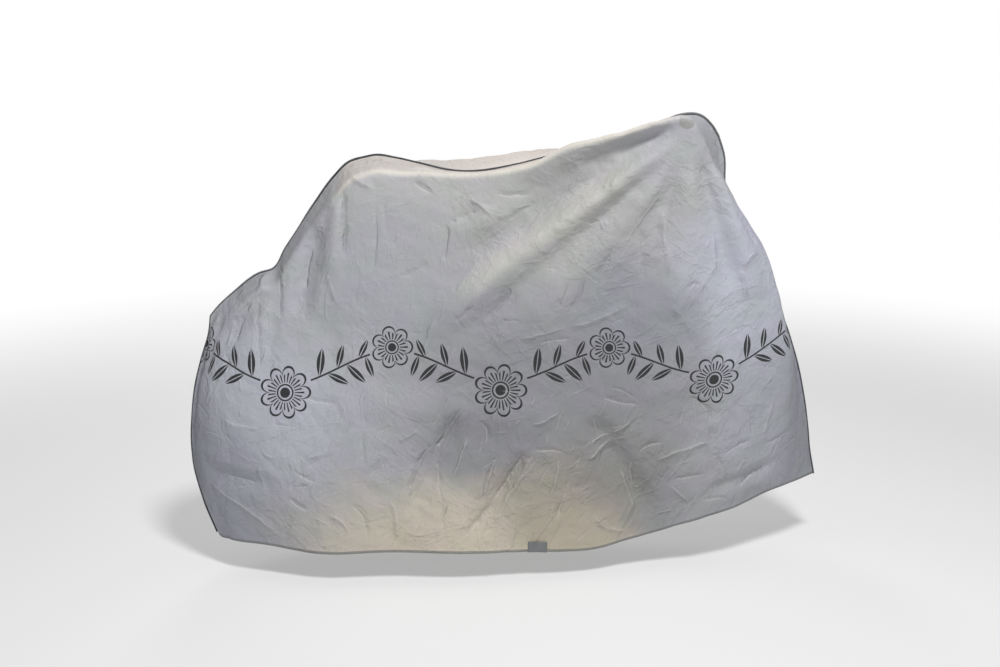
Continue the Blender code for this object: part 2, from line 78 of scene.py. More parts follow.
# ---------------------------------------------------------------- the seam, the hems and the sections
REAR_SEAM = [            # place along, sideways, height
    (-0.265,  0.000, 0.085),
    (-0.296,  0.000, 0.175),
    (-0.315,  0.000, 0.270),
    (-0.316,  0.000, 0.350),
    (-0.307,  0.000, 0.440),
    (-0.284,  0.000, 0.535),
    (-0.260,  0.000, 0.610),
    (-0.254,  0.000, 0.650),
]
TOP_SEAM = [
    (-0.254,  0.000, 0.650),
    (-0.236,  0.000, 0.671),
    (-0.193,  0.000, 0.710),
    (-0.130,  0.000, 0.755),
    (-0.098,  0.000, 0.765),
    (-0.063,  0.000, 0.818),
    (-0.020,  0.000, 0.882),
    ( 0.008,  0.000, 0.922),
    ( 0.060,  0.000, 0.990),
    ( 0.096,  0.000, 1.024),
    ( 0.136,  0.000, 1.036),
    ( 0.157,  0.000, 1.040),
    ( 0.205,  0.000, 1.034),
    ( 0.266,  0.002, 1.020),
    ( 0.330,  0.006, 1.004),
    ( 0.412,  0.015, 0.999),
    ( 0.510,  0.020, 1.016),
    ( 0.625,  0.010, 1.046),
    ( 0.735, -0.030, 1.074),
    ( 0.842, -0.080, 1.120),
    ( 0.887, -0.090, 1.138),
    ( 0.930, -0.080, 1.137),
    ( 0.965, -0.060, 1.112),
    ( 0.984, -0.048, 1.086),
]
FRONT_SEAM = [
    ( 0.984, -0.048, 1.086),
    ( 1.003, -0.036, 1.040),
    ( 1.012, -0.020, 0.966),
    ( 1.070,  0.006, 0.845),
    ( 1.158,  0.025, 0.686),
    ( 1.214,  0.038, 0.566),
    ( 1.252,  0.044, 0.444),
    ( 1.279,  0.050, 0.318),
    ( 1.288,  0.050, 0.248),
    ( 1.301,  0.050, 0.183),
]
RIGHT_HEM = [            # place along, distance out, height
    (-0.265, 0.000, 0.085),
    (-0.215, 0.062, 0.085),
    (-0.134, 0.108, 0.086),
    (-0.020, 0.145, 0.079),
    ( 0.150, 0.165, 0.081),
    ( 0.349, 0.175, 0.079),
    ( 0.541, 0.172, 0.074),
    ( 0.690, 0.150, 0.072),
    ( 0.806, 0.132, 0.090),
    ( 0.960, 0.115, 0.130),
    ( 1.060, 0.090, 0.148),
    ( 1.170, 0.040, 0.173),
    ( 1.301, -0.050, 0.183),
]
LEFT_HEM = [
    (-0.265, 0.000, 0.085),
    (-0.212, 0.066, 0.078),
    (-0.125, 0.112, 0.070),
    ( 0.000, 0.150, 0.064),
    ( 0.200, 0.168, 0.060),
    ( 0.420, 0.170, 0.066),
    ( 0.600, 0.164, 0.072),
    ( 0.800, 0.158, 0.092),
    ( 0.960, 0.160, 0.120),
    ( 1.120, 0.158, 0.142),
    ( 1.235, 0.125, 0.168),
    ( 1.301, 0.050, 0.183),
]
RIGHT_SECTIONS = [
    # seam_x  hem_x  ridge_x ridge_out  rise   high    mid     low   forward
    (-0.254, -0.265, -0.262,  0.000, -0.092,  0.000,  0.000,  0.000, 0.000),
    (-0.228, -0.236, -0.232,  0.036, -0.060,  0.044,  0.050,  0.048, 0.000),
    (-0.190, -0.196, -0.188,  0.058, -0.032,  0.068,  0.084,  0.084, 0.000),
    (-0.130, -0.130, -0.126,  0.072, -0.022,  0.090,  0.112,  0.116, 0.000),
    (-0.080, -0.085, -0.080,  0.062, -0.034,  0.098,  0.126,  0.132, 0.000),
    (-0.018, -0.030, -0.020,  0.056, -0.036,  0.102,  0.136,  0.144, 0.000),
    ( 0.063,  0.045,  0.066,  0.066, -0.034,  0.104,  0.144,  0.154, 0.000),
    ( 0.120,  0.105,  0.122,  0.076, -0.026,  0.106,  0.150,  0.162, 0.000),
    ( 0.205,  0.195,  0.206,  0.080, -0.020,  0.112,  0.156,  0.168, 0.000),
    ( 0.310,  0.300,  0.310,  0.086,  0.004,  0.122,  0.162,  0.174, 0.000),
    ( 0.412,  0.400,  0.412,  0.104,  0.015,  0.136,  0.168,  0.178, 0.000),
    ( 0.510,  0.500,  0.510,  0.132,  0.017,  0.154,  0.176,  0.182, 0.000),
    ( 0.625,  0.628,  0.620,  0.170,  0.041,  0.176,  0.184,  0.178, 0.000),
    ( 0.735,  0.755,  0.728,  0.208,  0.043,  0.200,  0.190,  0.168, 0.000),
    ( 0.842,  0.890,  0.828,  0.244,  0.030,  0.222,  0.192,  0.156, 0.000),
    ( 0.887,  0.985,  0.872,  0.252,  0.012,  0.226,  0.184,  0.146, 0.012),
    ( 0.930,  1.085,  0.912,  0.226, -0.040,  0.206,  0.162,  0.120, 0.030),
    ( 0.968,  1.205,  0.958,  0.150, -0.110,  0.146,  0.112,  0.070, 0.060),
    ( 0.984,  1.301,  1.010,  0.020, -0.150, -0.010, -0.036, -0.047, 0.000),
]
LEFT_SECTIONS = [
    # seam_x  hem_x  ridge_x ridge_out  rise   high    mid     low   forward
    (-0.254, -0.265, -0.262,  0.000, -0.092,  0.000,  0.000,  0.000, 0.000),
    (-0.228, -0.236, -0.232,  0.038, -0.060,  0.046,  0.052,  0.050, 0.000),
    (-0.190, -0.196, -0.188,  0.060, -0.032,  0.070,  0.088,  0.088, 0.000),
    (-0.130, -0.130, -0.126,  0.072, -0.022,  0.092,  0.116,  0.122, 0.000),
    (-0.080, -0.085, -0.080,  0.064, -0.034,  0.100,  0.130,  0.138, 0.000),
    (-0.018, -0.030, -0.020,  0.058, -0.036,  0.104,  0.140,  0.148, 0.000),
    ( 0.063,  0.045,  0.066,  0.066, -0.034,  0.106,  0.146,  0.158, 0.000),
    ( 0.120,  0.105,  0.122,  0.076, -0.026,  0.110,  0.152,  0.164, 0.000),
    ( 0.205,  0.195,  0.206,  0.086, -0.016,  0.120,  0.158,  0.168, 0.000),
    ( 0.310,  0.300,  0.310,  0.108,  0.016,  0.136,  0.164,  0.172, 0.000),
    ( 0.412,  0.400,  0.412,  0.144,  0.027,  0.156,  0.170,  0.174, 0.000),
    ( 0.510,  0.495,  0.508,  0.190,  0.016,  0.184,  0.178,  0.174, 0.000),
    ( 0.625,  0.610,  0.622,  0.244, -0.010,  0.214,  0.186,  0.172, 0.000),
    ( 0.735,  0.735,  0.724,  0.250, -0.060,  0.216,  0.186,  0.168, 0.000),
    ( 0.842,  0.880,  0.826,  0.214, -0.108,  0.200,  0.182,  0.166, 0.000),
    ( 0.887,  0.975,  0.872,  0.190, -0.118,  0.186,  0.178,  0.168, 0.000),
    ( 0.930,  1.085,  0.914,  0.154, -0.124,  0.162,  0.168,  0.168, 0.000),
    ( 0.968,  1.210,  0.962,  0.096, -0.132,  0.116,  0.138,  0.144, 0.000),
    ( 0.984,  1.301,  1.010, -0.020, -0.150,  0.010,  0.036,  0.047, 0.000),
]
HEIGHT_SHARES = (0.0, 0.25, 0.5, 0.75, 1.0)     # heights of a section's places, from ridge to hem
LEAN_SHAPE = (0.0, 1.0, 0.8, 0.3, 0.0)          # how a forward lean is shared out over those heights
END_REACH = 6            # the larger, the nearer to its end an end seam's bulge dies out

# ---------------------------------------------------------------- folds
# Broad folds. Columns: start and end (place along, height), half width at both, and height, minus a hollow.
RIGHT_FOLDS = [
    # x0     z0     x1     z1     w0     w1     height
    ( 0.865, 1.136,  0.420, 0.900, 0.026, 0.105, -0.027),
    ( 0.830, 1.088,  0.205, 0.575, 0.034, 0.075,  0.023),
    ( 0.770, 1.045,  0.260, 0.760, 0.030, 0.060, -0.009),
    ( 0.845, 1.065,  0.350, 0.575, 0.028, 0.060, -0.005),
    ( 0.850, 1.045,  0.455, 0.565, 0.030, 0.070,  0.010),
    ( 0.860, 1.050,  0.700, 0.620, 0.030, 0.080, -0.011),
    ( 0.875, 1.050,  0.880, 0.640, 0.034, 0.075,  0.009),
    ( 0.893, 1.080,  1.020, 0.700, 0.030, 0.060, -0.016),
    ( 0.935, 1.050,  1.080, 0.660, 0.028, 0.055,  0.010),
    (-0.100, 0.745, -0.244, 0.580, 0.032, 0.050, -0.016),
    ( 0.018, 0.890, -0.040, 0.640, 0.032, 0.050, -0.014),
    ( 0.070, 0.960,  0.048, 0.740, 0.026, 0.040,  0.011),
    ( 0.080, 0.470,  0.640, 0.420, 0.070, 0.080,  0.010),
    ( 0.660, 0.440,  0.850, 0.110, 0.055, 0.050, -0.018),
    ( 0.350, 0.440,  0.215, 0.160, 0.040, 0.045, -0.011),
    ( 0.520, 0.350,  0.350, 0.080, 0.036, 0.045, -0.012),
    ( 0.960, 0.195,  1.190, 0.260, 0.032, 0.034, -0.010),
    ( 0.900, 0.500,  1.000, 0.200, 0.040, 0.045, -0.007),
    (-0.290, 0.270, -0.080, 0.240, 0.040, 0.045, -0.010),
]
LEFT_FOLDS = [
    # x0     z0     x1     z1     w0     w1     height
    ( 0.640, 0.980,  0.240, 0.640, 0.030, 0.075,  0.014),
    ( 0.650, 0.960,  0.420, 0.540, 0.030, 0.070, -0.011),
    ( 0.665, 0.950,  0.610, 0.500, 0.030, 0.075,  0.012),
    ( 0.685, 0.960,  0.820, 0.560, 0.030, 0.070, -0.012),
    ( 0.720, 0.990,  1.000, 0.660, 0.030, 0.060,  0.013),
    ( 0.860, 0.980,  1.080, 0.560, 0.030, 0.050, -0.012),
    (-0.095, 0.745, -0.230, 0.560, 0.032, 0.050, -0.014),
    ( 0.020, 0.880, -0.030, 0.620, 0.032, 0.050, -0.013),
    ( 0.120, 0.960,  0.110, 0.700, 0.030, 0.045,  0.010),
    ( 0.280, 0.400,  0.200, 0.110, 0.050, 0.055,  0.010),
    ( 0.500, 0.380,  0.470, 0.110, 0.050, 0.060, -0.012),
    ( 0.720, 0.400,  0.760, 0.130, 0.050, 0.055,  0.012),
    ( 0.960, 0.400,  1.020, 0.170, 0.045, 0.050, -0.012),
]
FOLD_SWELL = 0.20        # share of a fold's length over which it rises
FOLD_TAPER = 0.30        # share of its length over which it dies out
FOLD_FADE = 0.05         # folds die out over this distance from the seam
HEM_WAVE = 0.006         # unevenness of the hem, to and fro
HEM_WAVE_LENGTH = 0.31
HEM_WAVE_TOP = 0.35      # the wave dies out up to this height
HEM_WAVE_SHIFT = {-1: 0.7, 1: 2.2}              # where the wave begins, for the right and the left side
SAMPLES = 160            # points on a path, for measuring along it


# ---------------------------------------------------------------- curves
def slopes(places, values):
    """Slope at each place of a table, limited so that the curve between rows never overshoots."""
    steps = np.diff(values, axis=0) / np.diff(places)[:, None]
    inner = np.where(steps[1:] * steps[:-1] > 0.0,
                     2.0 * steps[1:] * steps[:-1] / (steps[1:] + steps[:-1] + 1e-12), 0.0)
    return np.vstack([steps[:1], inner, steps[-1:]])


def curve_through(places, values, slope, at):
    """Smooth values between rows with the given values and slopes."""
    row = np.clip(np.searchsorted(places, at) - 1, 0, len(places) - 2)
    span = (places[row + 1] - places[row])[:, None]
    t = (np.asarray(at)[:, None] - places[row][:, None]) / span
    rise = t * t * (3.0 - 2.0 * t)
    between = values[row] * (1.0 - rise) + values[row + 1] * rise
    return between + span * (slope[row] * t * (1 - t) ** 2 - slope[row + 1] * t * t * (1 - t))


def read_table(places, values, at):
    """Smooth values between the rows of a table, at the given places."""
    values = values.reshape(len(places), -1)
    return curve_through(places, values, slopes(places, values), at)


def lengths_along(points):
    """Distance from the first point to each point of a path."""
    return np.concatenate([[0.0], np.cumsum(np.linalg.norm(np.diff(points, axis=0), axis=1))])


def path_through(rows):
    """Smooth path through the rows of a seam or hem table."""
    points = np.array(rows)
    chord = lengths_along(points)
    tangent = np.gradient(points, chord, axis=0)
    return curve_through(chord, points, tangent, np.linspace(0.0, chord[-1], 4 * SAMPLES))


def between_points(at, places, points):
    """Points at the given places, on straight lines between points whose places are known."""
    return np.stack([np.interp(at, places, points[:, axis]) for axis in range(3)], axis=1)


def points_at(path, distances):
    """Points of a path at the given distances along it."""
    return between_points(distances, lengths_along(path), path)


def smooth_step(value):
    """0 below 0 and 1 above 1, smooth between."""
    value = np.clip(value, 0.0, 1.0)
    return value * value * (3.0 - 2.0 * value)


# ---------------------------------------------------------------- a panel's surface
def column_places():
    """Where each column leaves the top seam: about evenly apart on seam, ridge, half-way line and hem."""
    top = path_through(TOP_SEAM)
    table = np.array(RIGHT_SECTIONS)
    hem_x, ridge_x, ridge_out, rise, _, mid, _, _ = read_table(table[:, 0], table[:, 1:], top[:, 0]).T
    ridge = np.stack([ridge_x, ridge_out, top[:, 2] + rise], axis=1)
    half_way = np.stack([0.5 * (ridge_x + hem_x), mid], axis=1)
    travel = sum(lengths_along(line) for line in (top, ridge, half_way, hem_x[:, None]))
    return np.interp(np.linspace(0.0, travel[-1], COLUMNS + 1), travel, top[:, 0])


def row_distances(over, total):
    """Distances of the rows down a column, with close rows at the hem's fold."""
    above = np.linspace(0.0, over, TOP_ROWS + 1)
    below = np.linspace(over, total - HEM - HEM_CLEAR, FACE_ROWS - 2)
    return np.concatenate([above, below[1:], [total - HEM, total - 0.5 * HEM, total]])


def end_column(seam):
    """Points down an end seam, one for each row of the grid."""
    length = lengths_along(seam)[-1]
    return points_at(seam, row_distances(RIDGE_PART * length, length))


def bulge_of(seam):
    """How far an end seam swings off its own straight line, at five heights below the ridge's row."""
    rows = end_column(seam)[TOP_ROWS:]
    share = (rows[0, 2] - rows[:, 2]) / (rows[0, 2] - rows[-1, 2])
    off = rows[:, 0] - (rows[0, 0] + (rows[-1, 0] - rows[0, 0]) * share)
    return np.interp(HEIGHT_SHARES, share, off)


def hang(seam_point, ridge, outs, hem_point, swing, side):
    """One column: from the seam, round the ridge and down the face to the hem."""
    over = np.linspace(0.0, 1.0, SAMPLES)
    top = seam_point + (ridge - seam_point) * over[:, None]
    top[:, 2] -= TOP_SAG * abs(ridge[1] - seam_point[1]) * np.sin(np.pi * over)
    share = np.array(HEIGHT_SHARES)
    out = np.array([side * ridge[1], *outs, side * hem_point[1]])
    down = np.linspace(0.0, 1.0, 2 * SAMPLES)
    face = ridge + (hem_point - ridge) * down[:, None]
    face[:, 1] = side * read_table(share, out, down)[:, 0]
    face[:, 0] += read_table(share, swing, down)[:, 0]
    top_length, face_length = lengths_along(top)[-1], lengths_along(face)[-1]
    nip = min(RIDGE_ROUND, 0.4 * top_length)
    start = points_at(top, [top_length - nip])
    end = points_at(face, [nip])
    turn = np.linspace(0.0, 1.0, 12)[:, None]
    rounded = (1 - turn) ** 2 * start + 2 * turn * (1 - turn) * ridge + turn ** 2 * end
    line = np.vstack([points_at(top, np.linspace(0.0, top_length - nip, SAMPLES)), rounded[1:-1],
                      points_at(face, np.linspace(nip, face_length, 2 * SAMPLES))])
    middle = lengths_along(line)[SAMPLES + 5]
    return points_at(line, row_distances(middle, lengths_along(line)[-1]))


def panel_grid(sections, hem_rows, side):
    """Outer surface of a panel without its folds, as points [column, row]; side is -1 right, +1 left."""
    table = np.array(sections)
    places = column_places()
    top = path_through(TOP_SEAM)
    rear, front = path_through(REAR_SEAM)[::-1], path_through(FRONT_SEAM)
    hem = path_through(hem_rows)
    values = read_table(table[:, 0], table[:, 1:], places)
    seam_points = between_points(places, top[:, 0], top)
    rear_bulge, front_bulge = bulge_of(rear), bulge_of(front)
    grid = [end_column(rear)]
    for column in range(1, COLUMNS):
        hem_x, ridge_x, ridge_out, rise, high, mid, low, forward = values[column]
        along = column / COLUMNS
        seam_point = seam_points[column]
        hem_y, hem_z = (np.interp(hem_x, hem[:, 0], hem[:, axis]) for axis in (1, 2))
        ridge = np.array([ridge_x, side * ridge_out, seam_point[2] + rise])
        hem_point = np.array([hem_x, side * hem_y, hem_z])
        swing = rear_bulge * (1.0 - along) ** END_REACH + front_bulge * along ** END_REACH
        swing = swing + forward * np.array(LEAN_SHAPE)
        grid.append(hang(seam_point, ridge, (high, mid, low), hem_point, swing, side))
    grid.append(end_column(front))
    return np.array(grid)


def normals_of(grid, side):
    """Unit normals of a grid, pointing out of the cover."""
    normal = side * np.cross(np.gradient(grid, axis=0), np.gradient(grid, axis=1))
    return normal / np.maximum(np.linalg.norm(normal, axis=2, keepdims=True), 1e-9)


def surface_distances(grid):
    """Distance over the surface of each grid point, from the rear seam and down from the top seam."""
    along = np.cumsum(np.linalg.norm(np.diff(grid, axis=0, prepend=grid[:1]), axis=2), axis=0)
    down = np.cumsum(np.linalg.norm(np.diff(grid, axis=1, prepend=grid[:, :1]), axis=2), axis=1)
    return along, down


def seam_distance(grid):
    """Distance of each grid point from the nearest of the three seam edges, measured over the surface."""
    along, down = surface_distances(grid)
    return np.minimum(down, np.minimum(along, along[-1] - along))


def broad_folds(grid, folds, side):
    """Height of the main folds over the panel, and of the hem's slow wave."""
    height = np.zeros(grid.shape[:2])
    for x0, z0, x1, z1, w0, w1, fold_height in folds:
        run = np.array([x1 - x0, z1 - z0])
        length = np.hypot(*run)
        offset = np.stack([grid[:, :, 0] - x0, grid[:, :, 2] - z0], axis=2)
        share = offset @ run / length ** 2
        across = abs(offset[:, :, 0] * run[1] - offset[:, :, 1] * run[0]) / length
        width = w0 + (w1 - w0) * np.clip(share, 0.0, 1.0)
        profile = fold_height * np.cos(0.5 * np.pi * np.clip(across / width, 0.0, 1.0)) ** 2
        height += profile * smooth_step(share / FOLD_SWELL) * smooth_step((1 - share) / FOLD_TAPER)
    clear = seam_distance(grid)
    height *= smooth_step(clear / FOLD_FADE)
    low = smooth_step(1.0 - grid[:, :, 2] / HEM_WAVE_TOP)
    wave = np.sin(2.0 * np.pi * grid[:, :, 0] / HEM_WAVE_LENGTH + HEM_WAVE_SHIFT[side])
    return height + HEM_WAVE * wave * low * smooth_step(clear / (2.0 * FOLD_FADE))


# ---------------------------------------------------------------- creases
# Creases of the right panel. They weren't placed by hand in real sizes: each was picked by eye in the photo,
# with its width and height set by hand, and a separate program worked out its ends and its bow in metres and
# printed these rows, all but one. Columns: start, end, bow of the middle to the left, half width of the steep
# flank, and height, where a minus sign is a groove.
RIGHT_CREASES = [
    # x0     z0     x1     z1     bow    width  height
    (  0.25,  0.99,   0.29,  0.96, -0.003, 0.007, -0.0018),
    (  0.38,  0.95,   0.44,  0.91, -0.001, 0.007,  0.0020),
    (  0.44,  0.91,   0.47,  0.92, -0.004, 0.006,  0.0015),
    (  0.35,  0.90,   0.40,  0.92, -0.002, 0.008, -0.0020),
    (  0.33,  0.89,   0.32,  0.80, -0.000, 0.007, -0.0018),
    (  0.33,  0.89,   0.38,  0.91, -0.001, 0.007, -0.0016),
    (  0.53,  0.94,   0.47,  0.90, -0.001, 0.008, -0.0018),
    (  0.44,  0.96,   0.52,  0.96, -0.002, 0.007, -0.0014),
    (  0.16,  0.99,   0.15,  0.77,  0.005, 0.006, -0.0013),
    (  0.17,  0.97,   0.18,  0.86,  0.001, 0.006, -0.0012),
    (  0.08,  0.97,   0.08,  0.80,  0.001, 0.006, -0.0026),
    (  0.22,  0.76,   0.28,  0.80, -0.001, 0.007, -0.0016),
    (  0.49,  0.77,   0.41,  0.66,  0.011, 0.009, -0.0024),
    (  0.51,  0.79,   0.48,  0.74, -0.005, 0.007,  0.0014),
    (  0.39,  0.70,   0.34,  0.66,  0.003, 0.007, -0.0016),
    (  0.61,  0.76,   0.56,  0.66,  0.004, 0.007, -0.0018),
    (  0.65,  0.77,   0.61,  0.68,  0.005, 0.007, -0.0016),
    (  0.58,  0.70,   0.55,  0.65,  0.002, 0.006, -0.0016),
    (  0.76,  0.71,   0.61,  0.65,  0.009, 0.009,  0.0020),
    (  0.61,  0.65,   0.49,  0.62,  0.003, 0.008,  0.0018),
    (  0.89,  0.75,   0.92,  0.75,  0.007, 0.006, -0.0016),
    (  0.86,  0.70,   0.87,  0.68, -0.001, 0.006,  0.0020),
    (  1.06,  0.83,   1.02,  0.79, -0.007, 0.006,  0.0020),
    (  1.02,  0.79,   1.04,  0.71, -0.001, 0.006,  0.0020),
    (  0.99,  0.93,   1.06,  0.83,  0.002, 0.007, -0.0014),
    (  0.95,  0.88,   0.96,  0.77,  0.000, 0.007,  0.0014),
    (  0.29,  0.67,   0.25,  0.55,  0.001, 0.006,  0.0012),
    (  0.36,  0.46,   0.28,  0.32, -0.000, 0.012, -0.0026),
    (  0.37,  0.38,   0.33,  0.27,  0.000, 0.008,  0.0020),
    (  0.28,  0.36,   0.22,  0.23, -0.005, 0.008, -0.0030),
    (  0.29,  0.35,   0.31,  0.09,  0.003, 0.005, -0.0012),
    (  0.25,  0.40,   0.20,  0.37,  0.001, 0.007,  0.0018),
    (  0.17,  0.35,   0.11,  0.29,  0.003, 0.007,  0.0022),
    (  0.18,  0.33,   0.13,  0.28,  0.001, 0.007, -0.0018),
    (  0.11,  0.40,   0.12,  0.29, -0.001, 0.006, -0.0014),
    (  0.06,  0.35,  -0.03,  0.32, -0.000, 0.008,  0.0022),
    (  0.05,  0.34,  -0.02,  0.30, -0.001, 0.008, -0.0016),
    ( -0.13,  0.34,  -0.09,  0.33, -0.011, 0.007,  0.0018),
    ( -0.00,  0.26,  -0.05,  0.29,  0.003, 0.007, -0.0016),
    ( -0.07,  0.22,  -0.02,  0.19, -0.005, 0.008, -0.0016),
    (  0.44,  0.33,   0.40,  0.20, -0.001, 0.008, -0.0024),
    (  0.51,  0.34,   0.43,  0.21,  0.004, 0.009, -0.0030),
    (  0.43,  0.21,   0.36,  0.12,  0.002, 0.008, -0.0024),
    (  0.53,  0.34,   0.45,  0.20,  0.003, 0.008,  0.0022),
    (  0.52,  0.34,   0.61,  0.33,  0.006, 0.007, -0.0016),
    (  0.59,  0.32,   0.57,  0.22,  0.004, 0.008,  0.0020),
    (  0.66,  0.36,   0.61,  0.24,  0.002, 0.008, -0.0022),
    (  0.61,  0.24,   0.59,  0.16, -0.002, 0.007, -0.0016),
    (  0.73,  0.37,   0.66,  0.31,  0.002, 0.008,  0.0022),
    (  0.66,  0.31,   0.63,  0.25, -0.003, 0.007,  0.0016),
    (  0.68,  0.16,   0.77,  0.11, -0.009, 0.008,  0.0018),
    (  0.77,  0.41,   0.63,  0.34,  0.007, 0.009,  0.0024),
    (  0.79,  0.32,   0.85,  0.35,  0.008, 0.008, -0.0016),
    (  0.83,  0.30,   0.99,  0.34,  0.006, 0.009,  0.0020),
    (  0.85,  0.23,   0.97,  0.25,  0.005, 0.008, -0.0018),
    (  0.93,  0.18,   0.87,  0.24,  0.001, 0.008,  0.0018),
    (  1.01,  0.30,   1.11,  0.34,  0.001, 0.008, -0.0018),
    (  1.06,  0.20,   1.15,  0.25,  0.001, 0.009, -0.0024),
    (  0.91,  0.46,   0.97,  0.39,  0.017, 0.008, -0.0022),
    (  0.97,  0.39,   1.04,  0.21, -0.007, 0.008, -0.0020),
    ( -0.23,  0.26,  -0.15,  0.25, -0.001, 0.008, -0.0016),
    ( -0.28,  0.24,  -0.10,  0.12,  0.007, 0.012,  0.0018),
    ( -0.14,  0.30,  -0.13,  0.23, -0.001, 0.007,  0.0014),
    ( -0.13,  0.73,  -0.13,  0.53, -0.003, 0.007, -0.0014),
    ( -0.08,  0.76,  -0.08,  0.66,  0.003, 0.006, -0.0014),
    ( -0.10,  0.79,  -0.17,  0.66,  0.002, 0.010,  0.0024),
    (  0.00,  0.83,  -0.02,  0.73, -0.002, 0.009, -0.0020),
    (  0.04,  0.77,   0.06,  0.70, -0.002, 0.006,  0.0014),
    ( -0.20,  0.65,  -0.21,  0.57, -0.003, 0.008,  0.0016),
    ( -0.17,  0.67,  -0.19,  0.59, -0.003, 0.007, -0.0016),
    ( -0.22,  0.59,  -0.21,  0.52,  0.002, 0.006, -0.0012),
    (  0.77,  0.89,   0.78,  0.76,  0.006, 0.009, -0.0016),
    (  0.82,  0.93,   0.85,  0.77, -0.003, 0.009,  0.0014),
    (  0.72,  0.85,   0.67,  0.76, -0.000, 0.008, -0.0014),
    (  0.10,  1.00,   0.16,  0.97, -0.003, 0.006,  0.0020),
    (  0.54,  0.61,   0.62,  0.62,  0.002, 0.007, -0.0014),
    (  0.34,  0.60,   0.30,  0.53,  0.005, 0.006,  0.0014),
    (  0.69,  0.48,   0.79,  0.45, -0.008, 0.008, -0.0016),
    (  0.52,  0.41,   0.59,  0.44, -0.005, 0.007,  0.0016),
    (  0.40,  0.42,   0.41,  0.36,  0.010, 0.007, -0.0016),
    (  1.14,  0.43,   1.12,  0.33, -0.004, 0.007,  0.0016),
    (  1.20,  0.34,   1.13,  0.31,  0.005, 0.007, -0.0016),
    (  1.06,  0.42,   1.09,  0.33,  0.008, 0.007, -0.0016),
    ( -0.03,  0.48,   0.06,  0.46, -0.007, 0.008, -0.0012),
    ( -0.23,  0.41,  -0.13,  0.40, -0.010, 0.008,  0.0012),
    (  0.08,  0.21,   0.12,  0.12,  0.012, 0.007, -0.0016),
    (  0.18,  0.22,   0.19,  0.11,  0.010, 0.007,  0.0016),
    (  0.03,  0.18,   0.08,  0.13,  0.010, 0.007,  0.0014),
    (  0.75,  0.28,   0.79,  0.16,  0.003, 0.007,  0.0018),
    (  0.96,  0.18,   1.04,  0.17,  0.005, 0.007, -0.0016),
]

# Creases of the left panel, made up, as the photo doesn't show that side. Columns as above.
LEFT_CREASES = [
    ( 0.62, 0.95,  0.50, 0.80,  0.006, 0.008,  0.0020),
    ( 0.66, 0.93,  0.60, 0.74, -0.004, 0.008, -0.0020),
    ( 0.72, 0.93,  0.80, 0.76,  0.004, 0.008,  0.0018),
    ( 0.46, 0.82,  0.33, 0.66,  0.008, 0.009, -0.0022),
    ( 0.30, 0.88,  0.24, 0.72,  0.002, 0.007,  0.0016),
    ( 0.08, 0.95,  0.07, 0.78, -0.003, 0.006, -0.0022),
    ( 0.15, 0.96,  0.15, 0.80,  0.003, 0.006,  0.0014),
    (-0.06, 0.78, -0.12, 0.62,  0.003, 0.008,  0.0020),
    (-0.14, 0.70, -0.19, 0.55, -0.003, 0.008, -0.0018),
    ( 0.90, 0.90,  0.98, 0.72,  0.005, 0.008, -0.0018),
    ( 0.96, 0.80,  1.04, 0.64, -0.004, 0.007,  0.0016),
    ( 0.40, 0.60,  0.52, 0.63,  0.004, 0.008,  0.0016),
    ( 0.55, 0.45,  0.66, 0.50, -0.006, 0.008, -0.0016),
    ( 0.22, 0.42,  0.16, 0.26,  0.006, 0.009,  0.0024),
    ( 0.34, 0.38,  0.26, 0.18, -0.005, 0.009, -0.0026),
    ( 0.48, 0.36,  0.42, 0.16,  0.006, 0.009,  0.0024),
    ( 0.60, 0.34,  0.52, 0.20,  0.003, 0.008, -0.0020),
    ( 0.72, 0.40,  0.80, 0.24, -0.005, 0.008,  0.0022),
    ( 0.84, 0.38,  0.76, 0.18,  0.004, 0.009, -0.0022),
    ( 0.96, 0.34,  1.06, 0.22, -0.006, 0.008,  0.0018),
    (-0.02, 0.32, -0.12, 0.20,  0.005, 0.008, -0.0018),
    (-0.18, 0.30, -0.10, 0.14,  0.004, 0.009,  0.0020),
    ( 0.06, 0.26,  0.10, 0.12, -0.004, 0.007,  0.0016),
]

# Small creases strewn over each panel. Columns: how many, their field, their direction in degrees and its
# spread, longest length, half width and height.
STREWN = [
    # count  x0     x1    z0    z1   turn  spread length  width   height
    (90,  0.12,  1.00, 0.08, 0.42,  60.0,  26.0, 0.100, 0.0065, 0.0015),
    (40, -0.29,  0.16, 0.10, 0.42,  20.0,  40.0, 0.090, 0.0065, 0.0012),
    (36,  0.85,  1.24, 0.17, 0.62,  38.0,  50.0, 0.080, 0.0065, 0.0013),
    (44,  0.10,  0.80, 0.60, 0.98,  34.0,  30.0, 0.070, 0.0065, 0.0009),
    (30, -0.26,  0.14, 0.45, 0.92,  80.0,  24.0, 0.090, 0.0060, 0.0009),
    (46,  0.20,  1.05, 0.38, 0.74,  42.0,  34.0, 0.070, 0.0065, 0.0010),
]

# Flat facets between faint ridges. Columns: direction in degrees, spacing, height, size of the patches.
CRUMPLES = [
    # turn  spacing  height   patch
    ( 62.0,  0.050,  0.0012,  0.15),
    ( 24.0,  0.083,  0.0016,  0.21),
    (103.0,  0.070,  0.0013,  0.18),
    (-33.0,  0.062,  0.0012,  0.17),
    (  4.0,  0.120,  0.0018,  0.30),
]

